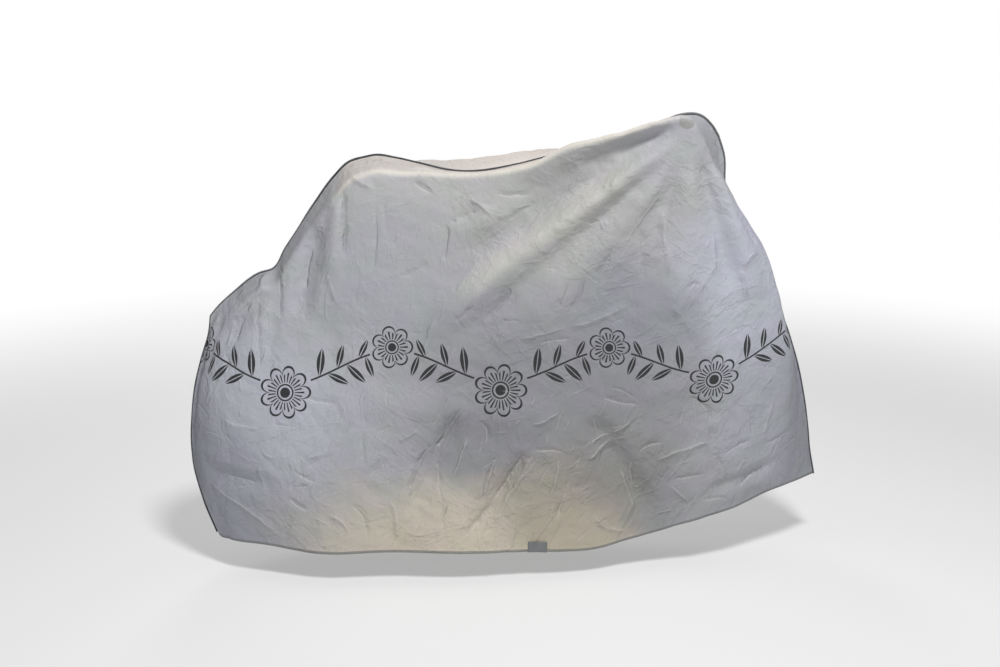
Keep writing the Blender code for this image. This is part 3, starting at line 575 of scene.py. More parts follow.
CREASE_RISE = 1.7        # the mesh raises the creases by this factor
CREASE_TAPER = 0.25      # share of its length over which a crease dies out at each end, in the mesh
LINE_TAPER = 0.2         # and the same for its sharp line in the material
CREASE_FADE = 0.03       # creases and facets die out over this distance from the seam
CREASE_APART = 0.010     # creases fade where another comes closer than this
CRUMPLE_WANDER = 0.45    # how far the facets' ridges stray, as a share of their spacing
FLANK = 2.3              # the gentle flank of a crease is this many times wider than the steep one
PEAK = {-1: (0.866, 1.134), 1: (0.640, 1.010)}   # where the film is stretched most, place along and height
RAYS = 34                # fine pleats around that place
RAY_RISE = 0.0032
REAR_ROUND = 0.007       # how far the film bows out beside the rear seam, and over what reach
REAR_ROUND_REACH = 0.060
REAR_ROUND_TOP = 0.05    # it grows to that over this distance from the top
PRESS_MARK = (0.866, 1.137, 0.0182)    # round mark that a grip's end presses into the right panel


def field(x, z, size, seed):
    """Smooth random values over the panel, in patches of the given size."""
    points = np.stack([x.ravel() / size, z.ravel() / size, np.full(x.size, seed)], axis=1)
    return np.array([noise.noise(point) for point in points.tolist()]).reshape(x.shape)


def beside_line(x, z, ends, bow):
    """For each point, its share of the way along a bowed line and its distance to the left of it, with the
    line's length."""
    x0, z0, x1, z1 = ends
    run_x, run_z = x1 - x0, z1 - z0
    length = math.hypot(run_x, run_z)
    ahead = ((x - x0) * run_x + (z - z0) * run_z) / length ** 2
    across = ((z - z0) * run_x - (x - x0) * run_z) / length - 4.0 * bow * ahead * (1.0 - ahead)
    return ahead, across, length


def crease_height(grid, rows):
    """Height of sharp-topped creases, steep on the flank that faces up and gentle on the other."""
    x, z = grid[:, :, 0], grid[:, :, 2]
    height = np.zeros(x.shape)
    for x0, z0, x1, z1, bow, width, crest in rows:
        ahead, across, _ = beside_line(x, z, (x0, z0, x1, z1), bow)
        reach = np.where(across * (x1 - x0) * crest > 0.0, width, FLANK * width)
        sharp = CREASE_RISE * crest * np.clip(1.0 - abs(across) / reach, 0.0, 1.0) ** 1.5
        height += sharp * smooth_step(ahead / CREASE_TAPER) * smooth_step((1.0 - ahead) / CREASE_TAPER)
    return height


def nearest_crease(grid, rows):
    """For each point, its distance from the nearest crease's line, plus on the steep flank's side, and that
    crease's height there. The steep flank is the one that faces up. A crease fades where another is near."""
    x, z = grid[:, :, 0], grid[:, :, 2]
    best, second, line = (np.full(x.shape, 1.0) for _ in range(3))
    height = np.zeros(x.shape)
    for x0, z0, x1, z1, bow, _, crest in rows:
        ahead, across, length = beside_line(x, z, (x0, z0, x1, z1), bow)
        far = abs(across) + 2.0 * length * np.maximum(0.0, abs(ahead - 0.5) - 0.5)
        nearer = far < best
        second = np.where(nearer, best, np.minimum(second, far))
        best = np.minimum(best, far)
        line[nearer] = across[nearer] * math.copysign(1.0, (x1 - x0) * crest)
        tapered = crest * smooth_step(ahead / LINE_TAPER) * smooth_step((1.0 - ahead) / LINE_TAPER)
        height[nearer] = tapered[nearer]
    return line, height * smooth_step((second - best - CREASE_APART) / CREASE_APART)


def strewn_creases(side):
    """Rows of small creases, drawn with a fixed seed."""
    draw = random.Random(20 + side)
    rows = []
    for count, x0, x1, z0, z1, turn, spread, length, width, crest in STREWN:
        for _ in range(count):
            x, z = draw.uniform(x0, x1), draw.uniform(z0, z1)
            angle = math.radians(draw.gauss(turn, spread))
            reach = length * draw.uniform(0.3, 1.0)
            rise = crest * draw.choice((-1.0, 1.0)) * draw.uniform(0.5, 1.2)
            rows.append((x, z, x + reach * math.cos(angle), z + reach * math.sin(angle),
                         0.07 * reach * draw.uniform(-1.0, 1.0), width * draw.uniform(0.9, 1.4), rise))
    return rows


def crumple_height(grid, side):
    """Papery facets: triangular ridges in several directions, each in its own patches."""
    x, z = grid[:, :, 0], grid[:, :, 2]
    height = np.zeros(x.shape)
    for number, (turn, spacing, rise, patch) in enumerate(CRUMPLES):
        seed = 7.3 * number + 3.1 * side
        angle = math.radians(turn)
        stray = CRUMPLE_WANDER * spacing * field(x, z, 2.2 * spacing, seed)
        along = (x * math.cos(angle) + z * math.sin(angle) + stray) / spacing
        ridge = abs(2.0 * (along % 1.0) - 1.0)
        height += rise * (ridge - 0.5) * smooth_step(0.45 + 1.7 * field(x, z, patch, seed + 1.7))
    return height


def ray_height(grid, side):
    """Fine pleats that fan out from the place where the film is stretched most."""
    x, z = grid[:, :, 0] - PEAK[side][0], grid[:, :, 2] - PEAK[side][1]
    far = np.hypot(x, z)
    turn = np.arctan2(z, x) * RAYS / (2.0 * math.pi)
    turn = turn + 0.9 * field(turn, far, 1.6, 4.4 + side)
    pleat = abs(2.0 * (turn % 1.0) - 1.0) - 0.5
    return RAY_RISE * pleat * smooth_step(far / 0.09) * np.exp(-far / 0.17)


def rear_rounding(grid):
    """Beside the rear seam the film bows out a little before it turns in."""
    along, down = surface_distances(grid)
    bow = REAR_ROUND * np.sin(np.pi * np.clip(along / REAR_ROUND_REACH, 0.0, 1.0))
    return bow * smooth_step(down / REAR_ROUND_TOP)


def folded(grid, folds, creases, side):
    """The panel's surface with all its folds, creases and crumples, and its hem folded outwards."""
    clear = smooth_step(seam_distance(grid) / CREASE_FADE)
    height = broad_folds(grid, folds, side)
    height += clear * (crease_height(grid, creases) + crumple_height(grid, side))
    height += clear * ray_height(grid, side) + rear_rounding(grid)
    height[1:-1, -3:] += HEM_STEP
    return grid + normals_of(grid, side) * height[:, :, None]


# ---------------------------------------------------------------- the seam's own frame
def tape_height(root):
    """The tape's height as a share, by point: high on the crown and at the front peak, lower elsewhere."""
    crown = np.exp(-((root[:, 0] - 0.10) / 0.14) ** 2) * smooth_step((root[:, 2] - 0.86) / 0.06)
    peak = smooth_step((root[:, 0] - 0.76) / 0.08) * smooth_step((root[:, 2] - 0.93) / 0.06)
    wander = np.array([noise.noise((place / 0.07, 2.6, 1.3)) for place in lengths_along(root).tolist()])
    return (0.38 + 0.34 * np.maximum(crown, peak) + 0.24 * wander)[:, None]


def seam_frame(grid):
    """Root points of the whole seam, with its sideways and outward directions; the tape leans to and fro."""
    root = np.vstack([grid[0, ::-1], grid[1:-1, 0], grid[-1]])
    length = lengths_along(root)
    tangent = np.gradient(root, length, axis=0)
    tangent /= np.linalg.norm(tangent, axis=1, keepdims=True)
    sideways = np.array([0.0, 1.0, 0.0]) - tangent * tangent[:, 1:2]
    sideways /= np.linalg.norm(sideways, axis=1, keepdims=True)
    outward = np.cross(tangent, sideways)
    lean = np.array([noise.noise((place / 0.16, 0.4, 8.8)) for place in length.tolist()])[:, None]
    turn = TAPE_LEAN * lean * smooth_step(length / TAPE_STEADY)[:, None]
    turn = turn * smooth_step((length[-1] - length) / TAPE_STEADY)[:, None]
    return (root, sideways * np.cos(turn) - outward * np.sin(turn),
            outward * np.cos(turn) + sideways * np.sin(turn))


# ---------------------------------------------------------------- meshes
def mesh_object(name, points, faces, material):
    """A named mesh object from points in the tape measure's frame."""
    mesh = bpy.data.meshes.new(name)
    mesh.from_pydata((np.asarray(points) - CROWN_REST).tolist(), [], faces)
    mesh.validate()
    mesh.shade_smooth()
    mesh.materials.append(material)
    piece = bpy.data.objects.new(name, mesh)
    bpy.context.scene.collection.objects.link(piece)
    return piece


def applied(piece):
    """The same object with its modifiers made part of its mesh."""
    graph = bpy.context.evaluated_depsgraph_get()
    mesh = bpy.data.meshes.new_from_object(piece.evaluated_get(graph))
    mesh.name = piece.name
    piece.modifiers.clear()
    piece.data = mesh
    return piece


def point_values(piece, name, values, lip):
    """Give a panel one value for each point of its grid, and the value lip along its raw edge."""
    rest = len(piece.data.vertices) - values.size
    attribute = piece.data.attributes.new(name, "FLOAT", "POINT")
    attribute.data.foreach_set("value", np.append(values.ravel(), np.full(rest, lip)).astype(np.float32))


def grid_quads(index):
    """Four-cornered faces between the points of a grid, from the points' numbers."""
    here, there = index[:-1, :-1].ravel(), index[1:, :-1].ravel()
    return np.stack([here, here + 1, there + 1, there], axis=1)


def thickened(piece, thickness, offset):
    """Give a sheet its thickness."""
    thick = piece.modifiers.new("film", "SOLIDIFY")
    thick.thickness = thickness
    thick.offset = offset
    return applied(piece)


def side_panel(name, grid, surface, creases, side, material):
    """One panel: the crumpled sheet, with its sewn edges turned out into the seam."""
    root, sideways, outward = seam_frame(grid)
    sewn = root + side * (0.5 * SEAM_GAP + FILM) * sideways
    raw = sewn + FLANGE * tape_height(root) * outward
    columns, rows = surface.shape[:2]
    shaped = surface.copy()
    shaped[0, ::-1] = sewn[:rows]
    shaped[1:-1, 0] = sewn[rows:-rows]
    shaped[-1] = sewn[-rows:]
    index = np.arange(columns * rows).reshape(columns, rows)
    edge = np.concatenate([index[0, ::-1], index[1:-1, 0], index[-1]])
    lip = columns * rows + np.arange(len(edge))
    strip = np.stack([edge[:-1], edge[1:], lip[1:], lip[:-1]], axis=1)
    faces = np.vstack([grid_quads(index), strip])
    if side > 0:
        faces = faces[:, ::-1]
    piece = mesh_object(name, np.vstack([shaped.reshape(-1, 3), raw]), faces.tolist(), material)

    _, down = surface_distances(grid)
    past = down - down[:, TOP_ROWS:TOP_ROWS + 1]
    point_values(piece, "from_hem", down[:, -1:] - down, 1.0)
    # The top between the seam and the ridge, which the film's colour paints lighter: painted light.
    point_values(piece, "top", smooth_step(0.5 - past / TOP_EDGE), 1.0)
    for layer, rows_of_creases in enumerate(creases):
        across, height = nearest_crease(grid, rows_of_creases)
        height = height * smooth_step(seam_distance(grid) / LINE_FADE)
        point_values(piece, "crease_across_%d" % layer, across, 1.0)
        point_values(piece, "crease_rise_%d" % layer, height, 0.0)
    # Where the highlight painted along the ridge lies.
    point_values(piece, "ridge", np.exp(-((past - RIDGE_LINE) / RIDGE_BLUR) ** 2), 0.0)
    line = read_table(PRINT_LINE[:, 0], PRINT_LINE[:, 1], grid[:, :, 0].ravel())[:, 0].reshape(columns, rows)
    above = grid[:, :, 2] - line
    level = np.array([[np.interp(0.0, up[::-1], points[::-1, axis]) for axis in (0, 1)]
                      for up, points in zip(above, grid)])
    across = lengths_along(level) + PRINT_START[side]
    uv = np.stack([np.repeat(across[:, None], rows, axis=1), above], axis=2).reshape(-1, 2)
    uv = np.vstack([uv, np.zeros((len(edge), 2))])
    layer = piece.data.uv_layers.new(name="print")
    loops = np.zeros(len(piece.data.loops), int)
    piece.data.loops.foreach_get("vertex_index", loops)
    layer.data.foreach_set("uv", uv[loops].astype(np.float32).ravel())
    return thickened(piece, FILM, -1.0)


def seam_binding(grid, material):
    """Tape folded over both panels' raw edges, along the whole seam."""
    root, sideways, outward = seam_frame(grid)
    inner = 0.5 * SEAM_GAP + FILM + TAPE_GAP
    outer, high = inner + TAPE, tape_height(root)
    # across, share of the flange's height, and a fixed height above it
    profile = [(-outer, TAPE_FOOT, 0.0), (-outer, 1.0, -0.0002), (-0.55 * outer, 1.0, TAPE_GAP + TAPE),
               (0.55 * outer, 1.0, TAPE_GAP + TAPE), (outer, 1.0, -0.0002), (outer, TAPE_FOOT, 0.0),
               (inner, TAPE_FOOT, 0.0), (inner, 1.0, -TAPE_GAP), (0.0, 1.0, TAPE_GAP),
               (-inner, 1.0, -TAPE_GAP), (-inner, TAPE_FOOT, 0.0)]
    count = len(profile)
    points = np.stack([root + across * sideways + (share * FLANGE * high + above) * outward
                       for across, share, above in profile], axis=1)
    faces = []
    for ring in range(len(root) - 1):
        for corner in range(count):
            after = (corner + 1) % count
            faces.append((ring * count + corner, ring * count + after,
                          (ring + 1) * count + after, (ring + 1) * count + corner))
    faces.append(tuple(range(count)))
    faces.append(tuple((len(root) - 1) * count + corner for corner in reversed(range(count))))
    piece = mesh_object("seam_tape", points.reshape(-1, 3), faces, material)
    layer = piece.data.uv_layers.new(name="weave")
    place = np.repeat(lengths_along(root), count)
    around = np.tile(np.array([abs(across) + share * FLANGE for across, share, _ in profile]), len(root))
    for loop in piece.data.loops:
        layer.data[loop.index].uv = (place[loop.vertex_index], around[loop.vertex_index])
    turned_out(piece)
    return piece


def turned_out(piece):
    """Make a closed mesh's faces point outwards."""
    builder = bmesh.new()
    builder.from_mesh(piece.data)
    bmesh.ops.recalc_face_normals(builder, faces=builder.faces)
    builder.to_mesh(piece.data)
    builder.free()


def stitch_tree(material):
    """Geometry nodes that lay short threads along a path, with named sizes."""
    tree = bpy.data.node_groups.new("thread_row", "GeometryNodeTree")
    sockets = tree.interface
    sockets.new_socket("Path", in_out="INPUT", socket_type="NodeSocketGeometry")
    for name, value in (("Pitch", STITCH_PITCH), ("Length", STITCH_LENGTH), ("Thickness", STITCH_THICK)):
        sockets.new_socket(name, in_out="INPUT", socket_type="NodeSocketFloat").default_value = value
    sockets.new_socket("Seed", in_out="INPUT", socket_type="NodeSocketInt").default_value = 5
    sockets.new_socket("Threads", in_out="OUTPUT", socket_type="NodeSocketGeometry")

    def node(kind, settings=None, inputs=None):
        made = tree.nodes.new(kind)
        for key, value in (settings or {}).items():
            setattr(made, key, value)
        for key, value in (inputs or {}).items():
            if isinstance(value, bpy.types.NodeSocket):
                tree.links.new(value, made.inputs[key])
            else:
                made.inputs[key].default_value = value
        return made

    given = node("NodeGroupInput").outputs
    curve = node("GeometryNodeMeshToCurve", inputs={"Mesh": given["Path"]})
    spots = node("GeometryNodeCurveToPoints", {"mode": "LENGTH"},
                 {"Curve": curve.outputs["Curve"], "Length": given["Pitch"]})
    thread = node("GeometryNodeMeshUVSphere", inputs={"Segments": 6, "Rings": 4, "Radius": 0.5})
    size = node("ShaderNodeCombineXYZ", inputs={"X": given["Thickness"], "Y": given["Thickness"],
                                                "Z": given["Length"]})
    uneven = node("FunctionNodeRandomValue", {"data_type": "FLOAT"}, {"Seed": given["Seed"]})
    uneven.inputs[2].default_value = 0.75
    uneven.inputs[3].default_value = 1.15
    scale = node("ShaderNodeVectorMath", {"operation": "SCALE"},
                 {"Vector": size.outputs[0], "Scale": uneven.outputs[1]})
    row = node("GeometryNodeInstanceOnPoints", inputs={
        "Points": spots.outputs["Points"], "Instance": thread.outputs["Mesh"],
        "Rotation": spots.outputs["Rotation"], "Scale": scale.outputs["Vector"]})
    real = node("GeometryNodeRealizeInstances", inputs={"Geometry": row.outputs["Instances"]})
    painted = node("GeometryNodeSetMaterial", inputs={"Geometry": real.outputs["Geometry"]})
    painted.inputs["Material"].default_value = material
    node("NodeGroupOutput", inputs={"Threads": painted.outputs["Geometry"]})
    return tree


def seam_threads(grid, material):
    """Stitches on both sides of the tape."""
    root, sideways, outward = seam_frame(grid)
    skin = 0.5 * SEAM_GAP + FILM + TAPE_GAP + TAPE
    height = 0.5 * (TAPE_FOOT + 1.0) * FLANGE * tape_height(root)
    lines = [root + turn * skin * sideways + height * outward for turn in (-1.0, 1.0)]
    count = len(root)
    mesh = bpy.data.meshes.new("seam_threads")
    edges = [(line * count + step, line * count + step + 1) for line in (0, 1) for step in range(count - 1)]
    mesh.from_pydata((np.vstack(lines) - CROWN_REST).tolist(), edges, [])
    piece = bpy.data.objects.new("seam_threads", mesh)
    bpy.context.scene.collection.objects.link(piece)
    rows = piece.modifiers.new("thread_row", "NODES")
    rows.node_group = stitch_tree(material)
    piece = applied(piece)
    piece.data.shade_smooth()
    return piece


def hem_patch(grid, surface, material):
    """Patch folded over the right panel's hem, with a crease down its middle."""
    normal = normals_of(surface, -1)
    hem_x = surface[:, -1, 0]
    spots = np.interp(np.linspace(*PATCH_X, PATCH_LINES), hem_x, np.arange(len(hem_x)))
    lines = []
    for number, spot in enumerate(spots):
        low, share = int(spot), spot - int(spot)
        line = surface[low] * (1 - share) + surface[low + 1] * share
        out = normal[low] * (1 - share) + normal[low + 1] * share
        up = lengths_along(line[::-1])
        heights = np.linspace(0.0, PATCH_HEIGHT * (1.0 - 0.03 * number / 12), PATCH_ROWS)
        on = between_points(heights, up, line[::-1])
        facing = between_points(heights, up, out[::-1])
        fold = PATCH_CREASE * max(0.0, 1.0 - abs(number - 6.5) / 2.0)
        outer = on + facing * (PATCH_LIFT + fold + 0.0008 * (heights / PATCH_HEIGHT)[:, None] ** 2)
        inner = on - facing * (FILM + HEM_STEP + PATCH_LIFT)
        down = (on[0] - on[1]) / np.linalg.norm(on[0] - on[1])
        lines.append(np.vstack([outer[::-1], [on[0] + down * 0.0012], inner]))
    points = np.array(lines)
    columns, rows = points.shape[:2]
    faces = grid_quads(np.arange(columns * rows).reshape(columns, rows))
    piece = mesh_object("hem_tab", points.reshape(-1, 3), faces.tolist(), material)
    return thickened(piece, PATCH_FILM, 1.0)


# ---------------------------------------------------------------- materials
class Number:
    """A shader value, on which Python's operators add Math nodes."""

    def __init__(self, paint, socket):
        self.paint = paint
        self.socket = socket

    def math(self, operation, *others):
        inputs = dict(enumerate((self, *others)))
        return self.paint.node("ShaderNodeMath", {"operation": operation}, inputs)

    def __add__(self, other):
        return self.math("ADD", other)

    def __sub__(self, other):
        return self.math("SUBTRACT", other)

    def __mul__(self, other):
        return self.math("MULTIPLY", other)

    def __truediv__(self, other):
        return self.math("DIVIDE", other)

    def squared(self):
        return self.math("MULTIPLY", self)

    def __mod__(self, other):
        return self.math("FLOORED_MODULO", other)

    def __lt__(self, other):
        return self.math("LESS_THAN", other)

    def __gt__(self, other):
        return self.math("GREATER_THAN", other)

    def __abs__(self):
        return self.math("ABSOLUTE")

    def __rsub__(self, other):
        return self.paint.node("ShaderNodeMath", {"operation": "SUBTRACT"}, {0: other, 1: self})

    __radd__ = __add__
    __rmul__ = __mul__

    def least(self, other):
        return self.math("MINIMUM", other)

    def most(self, other):
        return self.math("MAXIMUM", other)

    def eased(self, low, high):
        """0 below low and 1 above high, smooth between; low may be the larger."""
        return self.paint.node("ShaderNodeMapRange", {"interpolation_type": "SMOOTHSTEP"},
                               {"Value": self, "From Min": low, "From Max": high})


class Paint:
    """One material's tree. node() adds any node from its type, its settings and its sockets' values."""

    def __init__(self, name, roughness, **constants):
        self.material = bpy.data.materials.new(name)
        self.material.use_nodes = True
        self.tree = self.material.node_tree
        self.skin = self.tree.nodes["Principled BSDF"]
        self.skin.inputs["Roughness"].default_value = roughness
        for key, value in constants.items():
            self.skin.inputs[key.replace("_", " ")].default_value = value

    def node(self, kind, settings=None, inputs=None, output=0):
        made = self.tree.nodes.new(kind)
        for key, value in (settings or {}).items():
            setattr(made, key, value)
        for key, value in (inputs or {}).items():
            self.feed(made.inputs[key], value)
        return Number(self, made.outputs[output])

    def feed(self, socket, value):
        if isinstance(value, Number):
            self.tree.links.new(value.socket, socket)
        else:
            socket.default_value = value

    def numbers(self, vector):
        """A vector's three numbers."""
        split = self.tree.nodes.new("ShaderNodeSeparateXYZ")
        self.feed(split.inputs[0], vector)
        return [Number(self, out) for out in split.outputs]

    def place(self):
        """Object coordinates, as a vector and its three numbers."""
        where = self.node("ShaderNodeTexCoord", output="Object")
        return where, self.numbers(where)

    def map(self, name):
        """A UV map's two numbers."""
        return self.numbers(self.node("ShaderNodeUVMap", {"uv_map": name}))[:2]

    def attribute(self, name):
        return self.node("ShaderNodeAttribute", {"attribute_name": name}, output="Fac")

    def noise(self, where, scale, detail=3.0, roughness=0.55):
        return self.node("ShaderNodeTexNoise", inputs={
            "Vector": where, "Scale": scale, "Detail": detail, "Roughness": roughness})

    def mix(self, share, first, second):
        """A colour between two others."""
        made = self.tree.nodes.new("ShaderNodeMix")
        made.data_type = "RGBA"
        for key, value in (("Factor_Float", share), ("A_Color", first), ("B_Color", second)):
            socket = next(item for item in made.inputs if item.identifier == key)
            self.feed(socket, value)
        return Number(self, next(item for item in made.outputs if item.identifier == "Result_Color"))

    def bump(self, height, distance, strength=1.0, below=None):
        inputs = {"Height": height, "Distance": distance, "Strength": strength}
        if below is not None:
            inputs["Normal"] = below
        return self.node("ShaderNodeBump", inputs=inputs)

    def finish(self, colour, roughness=None, normal=None):
        self.feed(self.skin.inputs["Base Color"], colour)
        if roughness is not None:
            self.feed(self.skin.inputs["Roughness"], roughness)
        if normal is not None:
            self.feed(self.skin.inputs["Normal"], normal)
        return self.material


# ---------------------------------------------------------------- the print
# The print's middle line: place along and height.
PRINT_LINE = np.array([(-0.30, 0.530), (0.04, 0.548), (0.40, 0.553),
                       (0.76, 0.550), (1.07, 0.575), (1.30, 0.600)])
PRINT_START = {-1: 0.0, 1: 0.19}                # where the pattern begins, for the right and the left side
PRINT_REPEAT = 0.52
STEM_WAVE = 0.040
# Leaves on both sides of a flower: distance from it, direction in degrees, length, width.
LEAVES = ((0.084, 84.0, 0.070, 0.019), (0.104, -26.0, 0.060, 0.017), (0.128, 76.0, 0.060, 0.016),
          (0.150, -44.0, 0.066, 0.018), (0.180, 64.0, 0.050, 0.014), (0.196, -70.0, 0.056, 0.015))
INK = (0.020, 0.021, 0.022, 1.0)


def flower(across, up, radius, petals):
    """Line-drawn flower: petal outlines, rays inside them, a ring and a solid middle."""
    far = (across.squared() + up.squared()).math("SQRT") / radius
    turn = up.math("ARCTAN2", across)
    edge = abs((turn * (0.5 * petals)).math("COSINE")).math("POWER", 0.45) * 0.38 + 0.60
    inside = edge - far
    outline = (inside > 0.0) * (inside < 0.085)
    rays = ((turn * (3.0 * petals)).math("COSINE") > 0.25) * (far > 0.36) * (far < edge * 0.74)
    ring = (abs(far - 0.29) < 0.030)
    middle = far < 0.19
    return outline.most(rays).most(ring).most(middle)


def leaf(across, up, turn, length, width):
    """Solid leaf with a bare midrib, starting at the origin and pointing along the turn."""
    angle = math.radians(turn)
    ahead = (across * math.cos(angle) + up * math.sin(angle)) / length
    aside = abs(up * math.cos(angle) - across * math.sin(angle))
    half = ahead * (1.0 - ahead) * (2.0 * width)
    return (aside < half) * (aside > 0.0011) * (ahead > 0.0)


def printed(paint):
    """Where the ink is: a winding stem with flowers and leaves, repeated along the panel."""
    along, up = paint.map("print")
    cell = along / PRINT_REPEAT
    here = (cell % 1.0 - 0.5) * PRINT_REPEAT
    next_one = ((cell + 0.5) % 1.0 - 0.5) * PRINT_REPEAT
    wave = (along * (2.0 * math.pi / PRINT_REPEAT)).math("COSINE") * STEM_WAVE
    stem = abs(up - wave) < 0.0024
    ink = stem
    for place, height, radius, petals in ((here, -0.058, 0.066, 9), (next_one, 0.048, 0.052, 7)):
        beside = up - height
        bare = (place.squared() + beside.squared()).math("SQRT") < radius * 1.06
        ink = (ink * (1.0 - bare)).most(flower(place, beside, radius, petals))
    for offset, turn, length, width in LEAVES:
        height = -STEM_WAVE * math.cos(2.0 * math.pi * offset / PRINT_REPEAT)
        ink = ink.most(leaf(here - offset, up - height, turn, length, width))
        ink = ink.most(leaf(here + offset, up - height, 180.0 - turn, length, width))
    return ink


def facets(paint, where, scale, slope):
    """Height of flat papery facets, in metres, from the distance to the edges of warped cells."""
    stray = paint.node("ShaderNodeTexNoise", inputs={"Vector": where, "Scale": 0.7 * scale}, output="Color")
    stray = paint.node("ShaderNodeVectorMath", {"operation": "SCALE"},
                       {"Vector": stray, "Scale": 0.45 / scale})
    warped = paint.node("ShaderNodeVectorMath", {"operation": "ADD"}, {0: where, 1: stray})
    edge = paint.node("ShaderNodeTexVoronoi", {"feature": "DISTANCE_TO_EDGE"},
                      {"Vector": warped, "Scale": scale})
    return edge * (slope / scale)


# Thin wandering wrinkles in the material. Columns: direction in degrees, length, spacing and height.
WRINKLES = [
    ( 62.0, 0.170, 0.036, 0.00125),
    ( 95.0, 0.130, 0.042, 0.00095),
    ( 22.0, 0.110, 0.030, 0.00085),
    (-38.0, 0.110, 0.036, 0.00075),
]


def wrinkles(paint, where, turn, long_way, short_way):
    """Thin ridges that wander along the turn, in patches, from 0 to 1."""
    turned = paint.node("ShaderNodeMapping", {"vector_type": "TEXTURE"}, {
        "Vector": where, "Rotation": (0.0, -math.radians(turn), 0.0),
        "Scale": (long_way, short_way, short_way)})
    ridge = (1.0 - abs(paint.noise(turned, 1.0, 3.0) - 0.5) * 13.0).most(0.0)
    return ridge * paint.noise(turned, 0.37, 2.0).eased(0.47, 0.62)


# Tones of the film, from light that comes through it and from light and shade on it: soft patches, painted
# one over another. Here and in the next two tables, places are in the part's own coordinates.
# Columns: middle along and up, half sizes, share, colour.
TONES = [
    ( 0.35, -0.10, 0.62, 0.30, 0.70, (0.415, 0.413, 0.400)),
    ( 0.06, -0.27, 0.34, 0.20, 0.50, (0.320, 0.330, 0.360)),
    ( 0.88, -0.22, 0.26, 0.34, 0.90, (0.488, 0.505, 0.580)),
    ( 0.42, -0.53, 0.48, 0.34, 0.95, (0.262, 0.266, 0.286)),
    ( 0.60, -0.30, 0.19, 0.17, 0.72, (0.262, 0.276, 0.304)),
    (-0.28, -0.65, 0.28, 0.26, 0.85, (0.485, 0.500, 0.565)),
    (-0.43, -0.90, 0.28, 0.30, 0.70, (0.310, 0.325, 0.385)),
    ( 0.62, -0.76, 0.30, 0.26, 0.60, (0.310, 0.312, 0.315)),
    ( 0.22, -0.70, 0.26, 0.13, 0.45, (0.235, 0.236, 0.248)),
    ( 0.22, -0.97, 0.54, 0.26, 1.00, (0.595, 0.538, 0.440)),
    ( 0.46, -0.81, 0.28, 0.17, 0.75, (0.360, 0.328, 0.262)),
    ( 0.50, -0.92, 0.22, 0.12, 0.60, (0.500, 0.448, 0.345)),
    ( 0.68, -0.80, 0.09, 0.14, 0.50, (0.240, 0.245, 0.255)),
    ( 1.00, -0.55, 0.22, 0.30, 0.50, (0.400, 0.415, 0.475)),
    ( 0.61, -0.69, 0.22, 0.13, 0.50, (0.232, 0.226, 0.220)),
    ( 0.98, -0.86, 0.22, 0.13, 0.55, (0.262, 0.270, 0.300)),
    (-0.02, -0.39, 0.18, 0.10, 0.45, (0.310, 0.320, 0.345)),
]

# Painted bands of shade and light beside a broad fold, along the line in which the film is stretched from the
# front peak
# down to the rear: the start of that line and its direction, then for each band its distance above the line,
# half width, share, colour.
STRETCH = (0.67, 0.03, -0.806, -0.591)
PAINTED_SHADE_AND_LIGHT_BANDS = [
    (0.072, 0.050, 0.80, (0.350, 0.353, 0.350)),
    (0.007, 0.042, 0.95, (0.500, 0.495, 0.470)),
]

# Painted shade along both ends, where the film turns away from the light: middle, half width, share, colour.
PAINTED_END_SHADE = [
    ( 1.12, 0.14, 0.75, (0.270, 0.280, 0.320)),
    (-0.49, 0.08, 0.55, (0.235, 0.245, 0.285)),
]


def crease_line(paint, layer, stray, steep, gentle):
    """Height of the sharp crease lines of one layer, from the distance and height that the mesh carries."""
    across = paint.attribute("crease_across_%d" % layer) + stray
    rise = paint.attribute("crease_rise_%d" % layer)
    return (1.0 - across / steep).least(1.0 + across / gentle).most(0.0) * rise


def toned(paint, where, x, z):
    """The film's colour with its patches of tone, light and shade, its painted shade at both ends and its
    painted bands of shade and light, before creases and print.
    """
    broad = paint.noise(where, 3.2, 2.0)
    colour = paint.mix(broad, (0.378, 0.386, 0.418, 1.0), (0.425, 0.430, 0.452, 1.0))
    stray_x = x + (paint.noise(where, 4.5, 2.0) - 0.5) * 0.20
    stray_z = z + (paint.noise(where, 6.5, 2.0) - 0.5) * 0.13 + (x - 0.2) * 0.10
    for middle_x, middle_z, half_x, half_z, share, tone in TONES:
        far = ((stray_x - middle_x) / half_x).squared() + ((stray_z - middle_z) / half_z).squared()
        colour = paint.mix(far.eased(1.0, 0.0) * share, colour, (*tone, 1.0))
    # Painted shade along both ends.
    for middle, half, share, tone in PAINTED_END_SHADE:
        far = ((x - middle) / half).squared() + ((z + 0.62) / 0.62).squared()
        colour = paint.mix(far.eased(1.0, 0.0) * share, colour, (*tone, 1.0))
    # Painted shade and light in bands beside the fold that runs down from the front peak.
    start_x, start_z, run_x, run_z = STRETCH
    ahead = (x - start_x) * run_x + (z - start_z) * run_z
    above = (z - start_z) * -run_x + (x - start_x) * run_z + (paint.noise(where, 6.0, 2.0) - 0.5) * 0.05
    along = ahead.eased(0.03, 0.20) * ahead.eased(0.64, 0.46)
    for middle, half, share, tone in PAINTED_SHADE_AND_LIGHT_BANDS:
        band = (1.0 - abs(above - middle) / half).eased(0.0, 0.9)
        colour = paint.mix(band * along * share, colour, (*tone, 1.0))
    tint = paint.mix(paint.noise(where, 13.0, 4.0).eased(0.35, 0.65),
                     (1.016, 0.991, 1.026, 1.0), (0.990, 1.009, 0.974, 1.0))
    return paint.node("ShaderNodeVectorMath", {"operation": "MULTIPLY"}, {0: colour, 1: tint})


